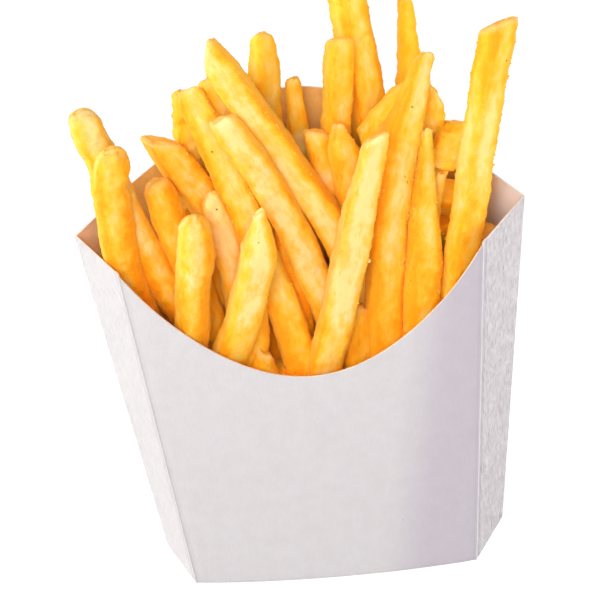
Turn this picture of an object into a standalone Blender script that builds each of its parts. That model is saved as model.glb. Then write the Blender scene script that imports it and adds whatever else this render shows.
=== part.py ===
"""French fries standing in a plain white paperboard scoop carton.

Metres, +Z up, front panel facing -Y. The origin is the middle of the carton's flat base.
The carton is one folded blank: a six-sided tapered cup with a low curved front and a tall
pointed back. The fries are one solid: a core inside the cup with the sticks that show fused on.
"""

import math
import random

import bmesh
import bpy
from mathutils import Matrix, Vector

MM = 0.001

# The carton's driving sizes
BOARD = 0.5 * MM
RIM_SIDE_Z = 98.5 * MM        # top of the side edges
CREASE_FOOT = 37.0 * MM       # half width of the front and back panels at the base
CREASE_TOP = 44.5 * MM        # and at the height of the side rims
SIDE_FOOT = 45.2 * MM         # half width across the side edges at the base
SIDE_TOP = 56.0 * MM
DEPTH_FOOT = 17.5 * MM        # half depth between the panels' creases
DEPTH_TOP = 18.5 * MM
BELLY = 2.3 * MM              # how far the filled cup bows its two panels out
FRONT_LOW_Z = 64.2 * MM       # lowest point of the front rim
FRONT_RISE = 33.0 * MM        # from there up to the creases
BACK_SHOULDER_Z = 100.0 * MM
BACK_SLOPE = math.radians(35.0)
BACK_CROWN_RADIUS = 31.0 * MM
CREASE_INSET = 0.55           # share of an inset by which a crease moves sideways
EDGE_INSET = 1.15             # and a side edge
PANEL_COLUMNS = 16
WALL_ROWS = 4

# The heap's driving sizes
CLEARANCE = 0.6 * MM          # between the core and the board
CORE_FLOOR_GAP = 0.3 * MM
CORE_TOP_Z = 58.0 * MM
CORE_DOME = 3.0 * MM
CORE_CROWN = 0.6              # how far in the flat top of the dome lies, as a share
CHAMFER = 0.26                # corner cut of a stick's square section, as a share of its half width
END_ROUNDING = 1.8 * MM
END_SHRINK = 0.72
TAPER_MOST = 0.6              # a taper takes no more than this share of a stick
STICK_SPANS = 3               # straight stretches below a stick's tapered end
BEND_STEP = 0.02              # share of the length over which a direction is measured
LYING = 0.95                  # a stick steeper sideways than this counts as lying
SLIVER = 0.02 * MM

# Each stick that shows, in millimetres: tip, foot, sideways bow (x, y) at its middle, width,
# width at the tip, length of the taper, roll in degrees, and how far the cut end slants
# (positive where its right side is the higher one).
STICKS = {
    "left_far": ((-48.5, -6, 135.5), (-23, -3, 55), (-2.5, 0), 8.2, 7.2, 10, 20, -0.2),
    "left_knob": ((-42, -12, 128), (-36, -4.5, 55), (-4.5, 0), 8.8, 8.0, 7, 10, 0.3),
    "left_short": ((-33.5, -4, 114.5), (-21.5, -4, 55), (0, 0), 8.2, 7.0, 8, 8, 0.1),
    "left_slant": ((-32, 2, 122.5), (-17, 3, 91), (0, 0), 8.4, 7.2, 10, 30, -1.0),
    "left_behind": ((-24.3, 10, 131), (-27, 10, 55), (0, 0), 8.0, 7.0, 10, 15, 0),
    "front_left": ((-24, -16.5, 110.5), (-34, -11, 55), (1, 0), 8.7, 7.6, 12, 5, 0),
    "pale_narrow": ((-21, -5, 110), (-18, -5, 55), (2.5, 0), 7.4, 5.4, 14, 12, 0.4),
    "long_yellow": ((-23.3, 4, 134), (-1.5, -11, 55), (1.8, -1), 8.5, 6.8, 14, 8, 0.1),
    "front_pointed": ((-8.5, -19.5, 112), (-27, -11, 55), (3.4, -0.5), 8.6, 2.6, 12, 10, 0.9),
    "light_diagonal": ((-15.5, -9, 132.5), (7, -5, 55), (4.5, 0), 8.0, 7.0, 12, 12, -0.2),
    "long_diagonal": ((-17, -3, 147), (22.5, -3, 55), (3, 0), 8.0, 6.6, 9, 6, 1.1),
    "behind_diagonal": ((-18.5, 8, 135), (-3, 6, 72), (0, 0), 7.4, 6.4, 10, 20, 0.2),
    "back_left_upright": ((-4.2, 8, 145.5), (-10, 12.5, 55), (0, 0), 6.8, 4.8, 12, 35, 0.1),
    "back_narrow": ((1.5, 12.5, 130.5), (-1, 13, 55), (1.5, 0), 7.2, 3.6, 30, 10, 0.1),
    "back_upright": ((14.3, 4.5, 144), (6, 13, 72), (0, 0), 6.6, 5.8, 8, 20, 0.15),
    "back_tallest": ((15.5, 12.5, 158), (14, 13, 55), (4.5, 0), 8.2, 7.2, 12, 30, 0.2),
    "back_spiky": ((30.7, 12.5, 149.5), (29, 12.5, 55), (0, 0), 7.2, 3.2, 30, 20, -0.2),
    "back_leaning": ((31.5, 4.5, 130), (19, 5, 115), (0, 0), 6.8, 4.6, 6, 15, 0.2),
    "back_crossing": ((36, 7.5, 126.5), (19, 6.5, 66), (0, 0), 7.6, 5.2, 8, 15, -0.9),
    "back_lying": ((44.5, 5.3, 117.5), (28, 0, 104), (0, 0), 8.2, 7.6, 8, 10, 0.2),
    "middle_blunt": ((6, 3.5, 120.3), (11, 4.5, 55), (1.5, 0), 7.0, 6.0, 10, 6, -0.4),
    "small_pointed": ((12, 1.5, 122.7), (19, 3, 62), (-1.5, 0), 7.6, 2.4, 8, 20, -0.2),
    "front_light": ((21, -14.5, 127), (1, -13, 55), (0, -0.6), 8.2, 5.4, 30, 8, 0.8),
    "big_right": ((34.3, -1, 140.7), (18.5, -12, 55), (-4.5, 1), 9.0, 4.2, 24, 12, 0.5),
    "right_pointed": ((33, -4, 122), (26, -13, 55), (0, 0), 8.8, 2.8, 34, 8, 0.2),
    "right_tall": ((52, -4, 148.5), (32.5, -12.5, 55), (-0.5, 0), 7.4, 7.4, 10, 36, 0.6),
    "right_small": ((35.6, -3, 109), (19, -4, 64), (0, 0), 7.2, 3.0, 18, 10, 0),
    "right_lying": ((45.5, 3, 96), (33, 7, 97), (0, 0), 8.2, 7.4, 8, 12, 0),
    "right_under": ((47.3, 0, 86.3), (31, 4, 88.8), (0, 0), 8.2, 7.4, 8, 12, 0),
    "deep_left": ((-20.5, 2.5, 87), (-26, 2.5, 55), (0, 0), 8.2, 7.4, 8, 15, 0),
    "deep_orange": ((-7.5, 1, 108.5), (-8.5, 0, 55), (0, 0), 8.0, 7.4, 8, 15, 0),
    "deep_brown": ((1, 4, 101), (1.5, 1, 55), (0, 0), 8.0, 7.4, 8, 15, 0),
    "front_stub": ((-11.5, -13.5, 68.5), (-14.5, -13, 50), (0, 0), 8.6, 4.0, 8, 20, -0.5),
    "low_brown": ((12.2, -8.5, 77), (10, -12, 50), (0, 0), 8.0, 5.4, 10, 20, -0.2),
    "low_gold": ((-13, -9, 82), (-17, -12, 52), (0, 0), 7.8, 6.5, 10, 15, 0.3),
    "deep_gold": ((-3.2, -2, 98), (-3.2, -3.5, 52), (0, 0), 7.4, 6.6, 8, 10, 0),
}

# Sticks that fill the rest of the cup, drawn one by one by a seeded rule and kept where they
# fit. All in millimetres and degrees.
FILL_SEED = 7
FILL_TRIES = 900
FILL_MOST = 22
FILL_FOOT_X = 44.0
FILL_FOOT_Y = (-12.0, 13.0)
FILL_FOOT_Z = 55.0
FILL_LEAN = (12.0, 3.0)
FILL_ROLL = 25.0
FILL_SLANT = 0.4
FILL_TIP_Z = (70.0, 80.0)     # how low and how high the cut ends lie
FILL_BACK_TIP_Z = 106.0       # higher behind the middle, where the back panel is high
FILL_BACK_X = 30.0
FILL_WIDTH = 8.0
FILL_TIP_WIDTH = 6.4
FILL_TAPER = 9.0
FILL_BOARD_GAP = 5.96         # least distance from a stick's middle line to the board
FILL_GAP = 5.6                # and to the middle line of another stick
FILL_CLEAR_Z = 64.0           # below this the core hides where sticks cross
FILL_OTHERS_Z = 58.0


def material(name, colour, roughness):
    mat = bpy.data.materials.new(name)
    mat.use_nodes = True
    shader = mat.node_tree.nodes["Principled BSDF"]
    shader.inputs["Base Color"].default_value = (*colour, 1.0)
    shader.inputs["Roughness"].default_value = roughness
    shader.inputs["Metallic"].default_value = 0.0
    return mat


def new_object(name, mesh_data, mat=None):
    obj = bpy.data.objects.new(name, mesh_data)
    bpy.context.scene.collection.objects.link(obj)
    if mat:
        obj.data.materials.append(mat)
    return obj


def mix(a, b, share):
    return a + (b - a) * share


def front_rim_z(x):
    """The scooped front rim: nearly an arc, a little steeper as it meets the creases."""
    t = min(abs(x) / CREASE_TOP, 1.0)
    return FRONT_LOW_Z + FRONT_RISE * (0.9 * t ** 2 + 0.1 * t ** 8)


def back_rim_z(x):
    """Straight shoulders that run into a round crown."""
    tangent_x = BACK_CROWN_RADIUS * math.sin(BACK_SLOPE)
    tangent_z = BACK_SHOULDER_Z + (CREASE_TOP - tangent_x) * math.tan(BACK_SLOPE)
    if abs(x) >= tangent_x:
        return BACK_SHOULDER_Z + (CREASE_TOP - abs(x)) * math.tan(BACK_SLOPE)
    centre_z = tangent_z - BACK_CROWN_RADIUS * math.cos(BACK_SLOPE)
    return centre_z + math.sqrt(BACK_CROWN_RADIUS ** 2 - x ** 2)


def wall_point(side, t, z, inset=0.0):
    """A point on the cup at height z: side -1 is the front panel and 1 the back one,
    t runs from -1 to 1 between the creases, and -2 and 2 are the side edges."""
    k = z / RIM_SIDE_Z
    crease = mix(CREASE_FOOT, CREASE_TOP, k)
    reach = mix(SIDE_FOOT, SIDE_TOP, k)
    depth = mix(DEPTH_FOOT, DEPTH_TOP, k)
    if abs(t) > 1.0:
        return Vector((math.copysign(reach - inset * EDGE_INSET, t), 0.0, z))
    sideways = inset * CREASE_INSET if abs(t) == 1.0 else 0.0
    belly = BELLY * (1.0 - t ** 2) * (1.0 if side < 0 else 0.5)
    return Vector((t * (crease - sideways), side * (depth + belly - inset), z))


def cup_columns():
    """The columns round the cup, each with its panel, its place and its rim height."""
    columns = [(-1, -2.0, RIM_SIDE_Z)]
    for i in range(PANEL_COLUMNS + 1):
        t = -1.0 + 2.0 * i / PANEL_COLUMNS
        columns.append((-1, t, front_rim_z(t * CREASE_TOP)))
    columns.append((1, 2.0, RIM_SIDE_Z))
    for i in range(PANEL_COLUMNS + 1):
        t = 1.0 - 2.0 * i / PANEL_COLUMNS
        columns.append((1, t, back_rim_z(t * CREASE_TOP)))
    return columns


def build_carton(mat):
    """Outer wall, rim and inner wall as one skin, closed by two flat floors."""
    bm = bmesh.new()
    columns = cup_columns()
    loops = []
    for row in range(WALL_ROWS + 1):
        loops.append([bm.verts.new(wall_point(s, t, top * row / WALL_ROWS)) for s, t, top in columns])
    for row in range(WALL_ROWS, -1, -1):
        loop = []
        for s, t, top in columns:
            z = mix(BOARD, top, row / WALL_ROWS)
            loop.append(bm.verts.new(wall_point(s, t, z, BOARD)))
        loops.append(loop)
    count = len(columns)
    for low, high in zip(loops, loops[1:]):
        for i in range(count):
            j = (i + 1) % count
            bm.faces.new((low[i], low[j], high[j], high[i]))
    bm.faces.new(list(reversed(loops[0])))
    bm.faces.new(loops[-1])
    bmesh.ops.recalc_face_normals(bm, faces=bm.faces)
    bmesh.ops.triangulate(bm, faces=[f for f in bm.faces if len(f.verts) > 4])
    mesh_data = bpy.data.meshes.new("carton")
    bm.to_mesh(mesh_data)
    bm.free()
    return new_object("carton", mesh_data, mat)


def build_core():
    """What fills the cup below the sticks that show, kept clear of the board."""
    bm = bmesh.new()
    gap = BOARD + CLEARANCE
    places = [(-1, -2.0), (-1, -1.0), (-1, -0.5), (-1, 0.0), (-1, 0.5), (-1, 1.0),
              (1, 2.0), (1, 1.0), (1, 0.5), (1, 0.0), (1, -0.5), (1, -1.0)]
    heights = (BOARD + CORE_FLOOR_GAP, CORE_TOP_Z / 2, CORE_TOP_Z)
    loops = []
    for z in heights:
        loops.append([bm.verts.new(wall_point(s, t, z, gap)) for s, t in places])
    inner = []
    for vert in loops[-1]:
        point = vert.co * CORE_CROWN
        inner.append(bm.verts.new((point.x, point.y, CORE_TOP_Z + CORE_DOME)))
    loops.append(inner)
    for low, high in zip(loops, loops[1:]):
        for i in range(len(places)):
            j = (i + 1) % len(places)
            bm.faces.new((low[i], low[j], high[j], high[i]))
    bm.faces.new(list(reversed(loops[0])))
    bm.faces.new(loops[-1])
    bmesh.ops.recalc_face_normals(bm, faces=bm.faces)
    bmesh.ops.triangulate(bm, faces=bm.faces)
    mesh_data = bpy.data.meshes.new("core")
    bm.to_mesh(mesh_data)
    bm.free()
    return new_object("fries", mesh_data)


def route_point(tip, foot, bow, share):
    sway = 4.0 * share * (1.0 - share)
    return tip.lerp(foot, share) + Vector((bow[0], bow[1], 0.0)) * MM * sway


def section(half):
    """A square with its corners cut, eight points anticlockwise."""
    short = half * (1.0 - CHAMFER * 2.0)
    return [(half, -short), (half, short), (short, half), (-short, half),
            (-half, short), (-half, -short), (-short, -half), (short, -half)]


def build_stick(tip_mm, foot_mm, bow, width, tip_width, taper, roll, slant):
    """One stick of potato, lofted from its cut end down to its foot."""
    tip = Vector(tip_mm) * MM
    foot = Vector(foot_mm) * MM
    length = (tip - foot).length
    near = min(taper * MM, length * TAPER_MOST)
    cuts = [0.0, END_ROUNDING, near]
    cuts += [mix(near, length, (i + 1) / STICK_SPANS) for i in range(STICK_SPANS)]
    bm = bmesh.new()
    rings = []
    for distance in cuts:
        share = distance / length
        centre = route_point(tip, foot, bow, share)
        ahead = route_point(tip, foot, bow, max(share - BEND_STEP, 0.0))
        behind = route_point(tip, foot, bow, min(share + BEND_STEP, 1.0))
        up = (ahead - behind).normalized()
        side = (Vector((1, 0, 0)) - up * up.x).normalized()
        if abs(up.x) > LYING:
            side = up.cross(Vector((0, 1, 0))).normalized()
        front = up.cross(side)
        grown = min(distance / near, 1.0)
        half = mix(tip_width, width, grown) * MM * 0.5
        if distance == 0.0:
            half *= END_SHRINK
        turn = Matrix.Rotation(math.radians(roll), 2)
        ring = []
        for point in section(half):
            a, b = turn @ Vector(point)
            lift = slant * a if distance < near else 0.0
            ring.append(bm.verts.new(centre + side * a + front * b + up * lift))
        rings.append(ring)
    for high, low in zip(rings, rings[1:]):
        for i in range(8):
            j = (i + 1) % 8
            bm.faces.new((low[i], low[j], high[j], high[i]))
    bm.faces.new(rings[0])
    bm.faces.new(list(reversed(rings[-1])))
    bmesh.ops.recalc_face_normals(bm, faces=bm.faces)
    bmesh.ops.triangulate(bm, faces=bm.faces)
    mesh_data = bpy.data.meshes.new("stick")
    bm.to_mesh(mesh_data)
    bm.free()
    return mesh_data


def middle_line(row, points=12):
    """Points along a stick's middle, in millimetres."""
    tip, foot = Vector(row[0]), Vector(row[1])
    return [route_point(tip * MM, foot * MM, row[2], i / points) / MM for i in range(points + 1)]


def board_distance(point):
    """How far a point inside the cup is from the nearest wall, in millimetres."""
    z = point[2] * MM
    side = -1 if point[1] < 0 else 1
    crease = wall_point(side, 1.0, z) / MM
    edge = wall_point(side, 2.0, z) / MM
    across = abs(crease.y) - abs(point[1])
    run = Vector((edge.x - crease.x, abs(edge.y) - abs(crease.y)))
    normal = Vector((run.y, -run.x)).normalized()
    slanted = normal.dot(Vector((abs(point[0]) - crease.x, abs(point[1]) - abs(crease.y))))
    return min(across, slanted)


def fill_sticks():
    """Draw sticks for the free places; one that would cross another or the board is skipped."""
    draw = random.Random(FILL_SEED)
    lines = [middle_line(row) for row in STICKS.values()]
    extra = []
    for _ in range(FILL_TRIES):
        foot = (draw.uniform(-FILL_FOOT_X, FILL_FOOT_X), draw.uniform(*FILL_FOOT_Y), FILL_FOOT_Z)
        lean = [draw.uniform(-most, most) for most in FILL_LEAN]
        roll = draw.uniform(-FILL_ROLL, FILL_ROLL)
        slant = draw.uniform(-FILL_SLANT, FILL_SLANT)
        lowest, highest = FILL_TIP_Z
        if foot[1] > 0 and abs(foot[0]) < FILL_BACK_X:
            highest = FILL_BACK_TIP_Z
        tip = (foot[0] + lean[0], foot[1] + lean[1], draw.uniform(lowest, highest))
        row = (tip, foot, (0, 0), FILL_WIDTH, FILL_TIP_WIDTH, FILL_TAPER, roll, slant)
        line = middle_line(row)
        inside = min(board_distance(p) for p in line) > FILL_BOARD_GAP
        seen = [p for p in line if p.z > FILL_CLEAR_Z]
        others = [q for other in lines for q in other if q.z > FILL_OTHERS_Z]
        if inside and all((p - q).length > FILL_GAP for p in seen for q in others):
            lines.append(line)
            extra.append(row)
        if len(extra) == FILL_MOST:
            break
    return extra


def build_fries(mat):
    """The core with every stick joined to it in one union."""
    core = build_core()
    sticks = bpy.data.collections.new("sticks")
    bpy.context.scene.collection.children.link(sticks)
    for row in list(STICKS.values()) + fill_sticks():
        sticks.objects.link(bpy.data.objects.new("stick", build_stick(*row)))
    union = core.modifiers.new("union", "BOOLEAN")
    union.operation = "UNION"
    union.operand_type = "COLLECTION"
    union.collection = sticks
    union.solver = "EXACT"
    union.use_self = True
    bpy.context.view_layer.objects.active = core
    bpy.ops.object.modifier_apply(modifier=union.name)
    for obj in list(sticks.objects):
        bpy.data.objects.remove(obj, do_unlink=True)
    bpy.data.collections.remove(sticks)
    core.data.materials.clear()
    core.data.materials.append(mat)
    return core


def tidy_heap(obj):
    """Merge the slivers that the union leaves, and keep the one large body."""
    bm = bmesh.new()
    bm.from_mesh(obj.data)
    bmesh.ops.remove_doubles(bm, verts=bm.verts, dist=SLIVER)
    bmesh.ops.dissolve_degenerate(bm, edges=bm.edges, dist=SLIVER)
    bmesh.ops.triangulate(bm, faces=bm.faces)
    bm.faces.ensure_lookup_table()
    islands = []
    unseen = set(bm.faces)
    while unseen:
        start = unseen.pop()
        island = [start]
        stack = [start]
        while stack:
            face = stack.pop()
            for edge in face.edges:
                for other in edge.link_faces:
                    if other in unseen:
                        unseen.discard(other)
                        island.append(other)
                        stack.append(other)
        islands.append(island)
    islands.sort(key=len)
    scraps = [face for island in islands[:-1] for face in island]
    bmesh.ops.delete(bm, geom=scraps, context="FACES")
    bm.to_mesh(obj.data)
    bm.free()


for old in list(bpy.data.objects):
    bpy.data.objects.remove(old, do_unlink=True)

board = material("coated board", (0.86, 0.84, 0.86), 0.45)
potato = material("fried potato", (0.90, 0.58, 0.15), 0.5)

build_carton(board)
heap = build_fries(potato)
tidy_heap(heap)
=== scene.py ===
# %% [markdown]
# # French fries in a paper carton
#
# This lesson dresses a measured model of a helping of fries: a white paperboard carton folded
# from one blank, and sticks of potato that stand in it at all angles. The measured model comes
# as a frame with two solids in it, the carton and the heap. Each of them is replaced by a finer
# piece of the same form and the same size.

# %% Load the frame
import math
import random
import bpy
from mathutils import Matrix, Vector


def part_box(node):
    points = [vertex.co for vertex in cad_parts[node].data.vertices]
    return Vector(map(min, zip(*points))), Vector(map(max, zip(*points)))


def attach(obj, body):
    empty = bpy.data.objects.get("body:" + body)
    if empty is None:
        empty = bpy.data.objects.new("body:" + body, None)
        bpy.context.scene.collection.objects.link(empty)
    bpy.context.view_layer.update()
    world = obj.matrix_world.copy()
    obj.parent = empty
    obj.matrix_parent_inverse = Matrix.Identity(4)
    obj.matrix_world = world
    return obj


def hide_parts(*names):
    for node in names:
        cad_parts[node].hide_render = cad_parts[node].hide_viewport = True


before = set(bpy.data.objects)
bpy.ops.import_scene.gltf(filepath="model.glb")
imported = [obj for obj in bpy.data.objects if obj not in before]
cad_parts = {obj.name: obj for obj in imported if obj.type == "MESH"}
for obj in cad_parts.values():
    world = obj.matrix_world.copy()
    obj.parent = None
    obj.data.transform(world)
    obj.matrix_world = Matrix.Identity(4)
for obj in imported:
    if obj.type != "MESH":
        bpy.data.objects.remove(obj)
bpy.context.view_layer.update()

from types import SimpleNamespace

import bmesh
import bpy
import numpy as np
from mathutils import Matrix, Vector

MM = 0.001

# %% [markdown]
# Operators act on whatever is selected, so each step starts from an empty selection. These
# helpers choose one object, choose faces or edges of it by a rule, and apply a modifier, as a
# person would do it by hand with the mouse.


# %% Helpers for working by hand
def focus(obj):
    if bpy.context.mode != "OBJECT":
        bpy.ops.object.mode_set(mode="OBJECT")
    bpy.ops.object.select_all(action="DESELECT")
    obj.select_set(True)
    bpy.context.view_layer.objects.active = obj


def pick(obj, kind, rule):
    """Enter edit mode with only the vertices, edges or faces selected that pass the rule."""
    focus(obj)
    bpy.ops.object.mode_set(mode="EDIT")
    bpy.ops.mesh.select_mode(type=kind)
    bpy.ops.mesh.select_all(action="DESELECT")
    bm = bmesh.from_edit_mesh(obj.data)
    chosen = 0
    for item in {"VERT": bm.verts, "EDGE": bm.edges, "FACE": bm.faces}[kind]:
        if rule(item):
            item.select_set(True)
            chosen += 1
    bm.select_flush_mode()
    bmesh.update_edit_mesh(obj.data)
    return chosen


def finish_with(obj, kind, **settings):
    """Add a modifier with its settings and apply it at once."""
    focus(obj)
    modifier = obj.modifiers.new(kind.lower(), kind)
    for key, value in settings.items():
        setattr(modifier, key, value)
    bpy.ops.object.modifier_apply(modifier=modifier.name)


def triangles(obj):
    return sum(len(p.vertices) - 2 for p in obj.data.polygons)


def mix(a, b, share):
    return a + (b - a) * share


# %% [markdown]
# ## The carton's measures
#
# The carton is a tapered cup with six sides: a front and a back panel, and at each side a
# gusset of two narrow panels that meet in an edge. The same few sizes give every wall: half
# widths and half depths at the base and at the rim, and how far the filled cup bows out.

# %% The carton's sizes
BOARD = 0.5 * MM
RIM_SIDE_Z = 98.5 * MM
CREASE_FOOT = 37.0 * MM
CREASE_TOP = 44.5 * MM
SIDE_FOOT = 45.2 * MM
SIDE_TOP = 56.0 * MM
DEPTH_FOOT = 17.5 * MM
DEPTH_TOP = 18.5 * MM
BELLY = 2.3 * MM
BACK_BELLY = BELLY / 2
FRONT_LOW_Z = 64.2 * MM
FRONT_RISE = 33.0 * MM
FRONT_STEEP = 0.1
BACK_SHOULDER_Z = 100.0 * MM
BACK_SLOPE = math.radians(35.0)
BACK_CROWN_RADIUS = 31.0 * MM

low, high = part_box("carton")
print("carton in the frame, mm:", [round((h - l) / MM, 1) for l, h in zip(low, high)])


# %% The carton's rim and walls as functions
def front_rim_z(x):
    """The scooped front: nearly an arc, a little steeper as it meets the creases."""
    t = min(abs(x) / CREASE_TOP, 1.0)
    return FRONT_LOW_Z + FRONT_RISE * mix(t ** 2, t ** 8, FRONT_STEEP)


def back_rim_z(x):
    """Straight shoulders that run into a round crown."""
    tangent_x = BACK_CROWN_RADIUS * math.sin(BACK_SLOPE)
    tangent_z = BACK_SHOULDER_Z + (CREASE_TOP - tangent_x) * math.tan(BACK_SLOPE)
    if abs(x) >= tangent_x:
        return BACK_SHOULDER_Z + (CREASE_TOP - abs(x)) * math.tan(BACK_SLOPE)
    centre_z = tangent_z - BACK_CROWN_RADIUS * math.cos(BACK_SLOPE)
    return centre_z + math.sqrt(BACK_CROWN_RADIUS ** 2 - x ** 2)


def half_widths(z):
    """Half width to the crease, half width to the side edge and half depth, at height z."""
    k = z / RIM_SIDE_Z
    return (mix(CREASE_FOOT, CREASE_TOP, k), mix(SIDE_FOOT, SIDE_TOP, k),
            mix(DEPTH_FOOT, DEPTH_TOP, k))


def panel_point(side, t, z):
    """A point of the front (side -1) or back (side 1) panel; t is -1 and 1 at its creases."""
    crease, _, depth = half_widths(z)
    belly = (BELLY if side < 0 else BACK_BELLY) * (1.0 - t ** 2)
    return Vector((t * crease, side * (depth + belly), z))


def gusset_point(side, hand, share, z):
    """A point of a gusset panel, from its side edge (share 0) to its crease (share 1)."""
    _, reach, _ = half_widths(z)
    edge = Vector((hand * reach, 0.0, z))
    return edge.lerp(panel_point(side, hand, z), share)


print("front rim from", round(front_rim_z(0) / MM, 1), "mm to",
      round(front_rim_z(CREASE_TOP) / MM, 1), "mm; back rim up to",
      round(back_rim_z(0) / MM, 1), "mm")

# %% [markdown]
# ## Folding the carton from its blank
#
# The real carton is cut flat, scored, folded and glued. A flat grid can be folded the same way:
# its columns go once round the cup and its rows go up to the rim, whose height differs from
# column to column. Beside each score line the pressed board keeps a shallow groove, and a bevel
# rounds the fold itself, because paperboard can't fold sharp.

# %% Fold the blank
GUSSET_COLUMNS = 30
PANEL_COLUMNS = 64
WALL_ROWS = 56
BEAD_HEIGHT = 0.08 * MM
BEAD_WIDTH = 0.45 * MM
GROOVE_DEPTH = 0.22 * MM
GROOVE_PLACE = 1.1 * MM
GROOVE_WIDTH = 0.6 * MM
EVEN_SHARE = 0.6

# Each panel in turn: its side of the cup, which hand its gusset is on (0 for a main panel),
# its columns, and the way along it
BLANK_PANELS = [
    (-1, -1, GUSSET_COLUMNS, 1), (-1, 0, PANEL_COLUMNS, 1), (-1, 1, GUSSET_COLUMNS, -1),
    (1, 1, GUSSET_COLUMNS, 1), (1, 0, PANEL_COLUMNS, -1), (1, -1, GUSSET_COLUMNS, -1),
]


def blank_columns():
    """Each column round the cup with the height of its rim, closer together by the folds."""
    columns = []
    for side, hand, count, way in BLANK_PANELS:
        rim = front_rim_z if side < 0 else back_rim_z
        for i in range(count):
            along = i / count if way > 0 else 1.0 - i / count
            if hand:
                columns.append((side, hand, along, mix(RIM_SIDE_Z, rim(CREASE_TOP), along)))
            else:
                t = -math.cos(math.pi * along)
                t = mix(t, -1.0 + 2.0 * along, EVEN_SHARE)
                columns.append((side, 0, t, rim(t * CREASE_TOP)))
    columns.append(columns[0])
    return columns


def score_relief(away):
    """Height of the pressed board beside a fold: a thin bead on it and a groove along it."""
    bead = BEAD_HEIGHT * math.exp(-(away / BEAD_WIDTH) ** 2)
    return bead - GROOVE_DEPTH * math.exp(-((away - GROOVE_PLACE) / GROOVE_WIDTH) ** 2)


def folded_point(column, row_share):
    """Where one point of the blank ends up, with what the scoring leaves beside a fold."""
    side, hand, place, top = column
    z = top * row_share
    crease, reach, depth = half_widths(z)
    if hand:
        point = gusset_point(side, hand, place, z)
        away = (1.0 - place) * math.hypot(reach - crease, depth)
        outward = Vector((hand * depth, side * (reach - crease), 0.0)).normalized()
    else:
        point = panel_point(side, place, z)
        away = (1.0 - abs(place)) * crease
        outward = Vector((0.0, side, 0.0))
    return point + outward * score_relief(away)


columns = blank_columns()
bpy.ops.object.select_all(action="DESELECT")
bpy.ops.mesh.primitive_grid_add(x_subdivisions=len(columns) - 1, y_subdivisions=WALL_ROWS, size=1)
carton = bpy.context.object
carton.name = "folded_carton"
for vert in carton.data.vertices:
    column = columns[round((vert.co.x + 0.5) * (len(columns) - 1))]
    vert.co = folded_point(column, round((vert.co.y + 0.5) * WALL_ROWS) / WALL_ROWS)
print("blank with", len(columns) - 1, "columns and", WALL_ROWS, "rows folded")

# %% [markdown]
# The glued seam is closed by merging the two ends of the blank. The lowest edges are filled
# with one face, the flat base. Then the folds are rounded, and the board gets its thickness
# inwards, so that the outer face stays where it was measured. Solidify can give the inner face
# and the cut edge their own materials: kraft brown inside, and the pale core at the cut.

# %% Close, round and thicken the board
FOLD_ROUND = 0.4 * MM
BASE_ROUND = 0.4 * MM
HAIR = 0.01 * MM


def on_fold(edge):
    """True for the edges that run up a crease or a side edge."""
    a, b = (v.co for v in edge.verts)
    if abs(a.z - b.z) < HAIR:
        return False
    crease, reach, depth = half_widths(a.z)
    at_side = abs(a.y) < HAIR and abs(b.y) < HAIR
    at_crease = math.hypot(abs(a.x) - crease, abs(a.y) - depth) < BEAD_WIDTH * 0.5
    return at_side or at_crease


pick(carton, "VERT", lambda v: True)
bpy.ops.mesh.remove_doubles(threshold=HAIR)
base_edges = pick(carton, "EDGE", lambda e: all(v.co.z < HAIR for v in e.verts))
bpy.ops.mesh.edge_face_add()
folds = pick(carton, "EDGE", on_fold)
bpy.ops.mesh.bevel(offset=FOLD_ROUND, segments=3, affect="EDGES")
pick(carton, "EDGE", lambda e: all(v.co.z < HAIR for v in e.verts))
bpy.ops.mesh.bevel(offset=BASE_ROUND, segments=2, affect="EDGES")
bpy.ops.mesh.select_all(action="SELECT")
bpy.ops.mesh.normals_make_consistent(inside=False)
bpy.ops.object.mode_set(mode="OBJECT")
for name in ("white coated board", "kraft lining", "cut edge"):
    carton.data.materials.append(bpy.data.materials.new(name))
finish_with(carton, "SOLIDIFY", thickness=BOARD, offset=-1.0,
            material_offset=1, material_offset_rim=2)
focus(carton)
bpy.ops.object.shade_smooth_by_angle(angle=math.radians(40))
print(base_edges, "base edges,", folds, "fold edges,", triangles(carton), "triangles")

# %% [markdown]
# ## The heap's measures
#
# Each stick that shows has its own place in the photo, so each has a row: the middle of its cut
# end, its foot, how far it bows at its middle, its width, its width at the tip, how long the
# taper is, its roll, and how far the cut slants. All in millimetres and degrees.

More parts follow.
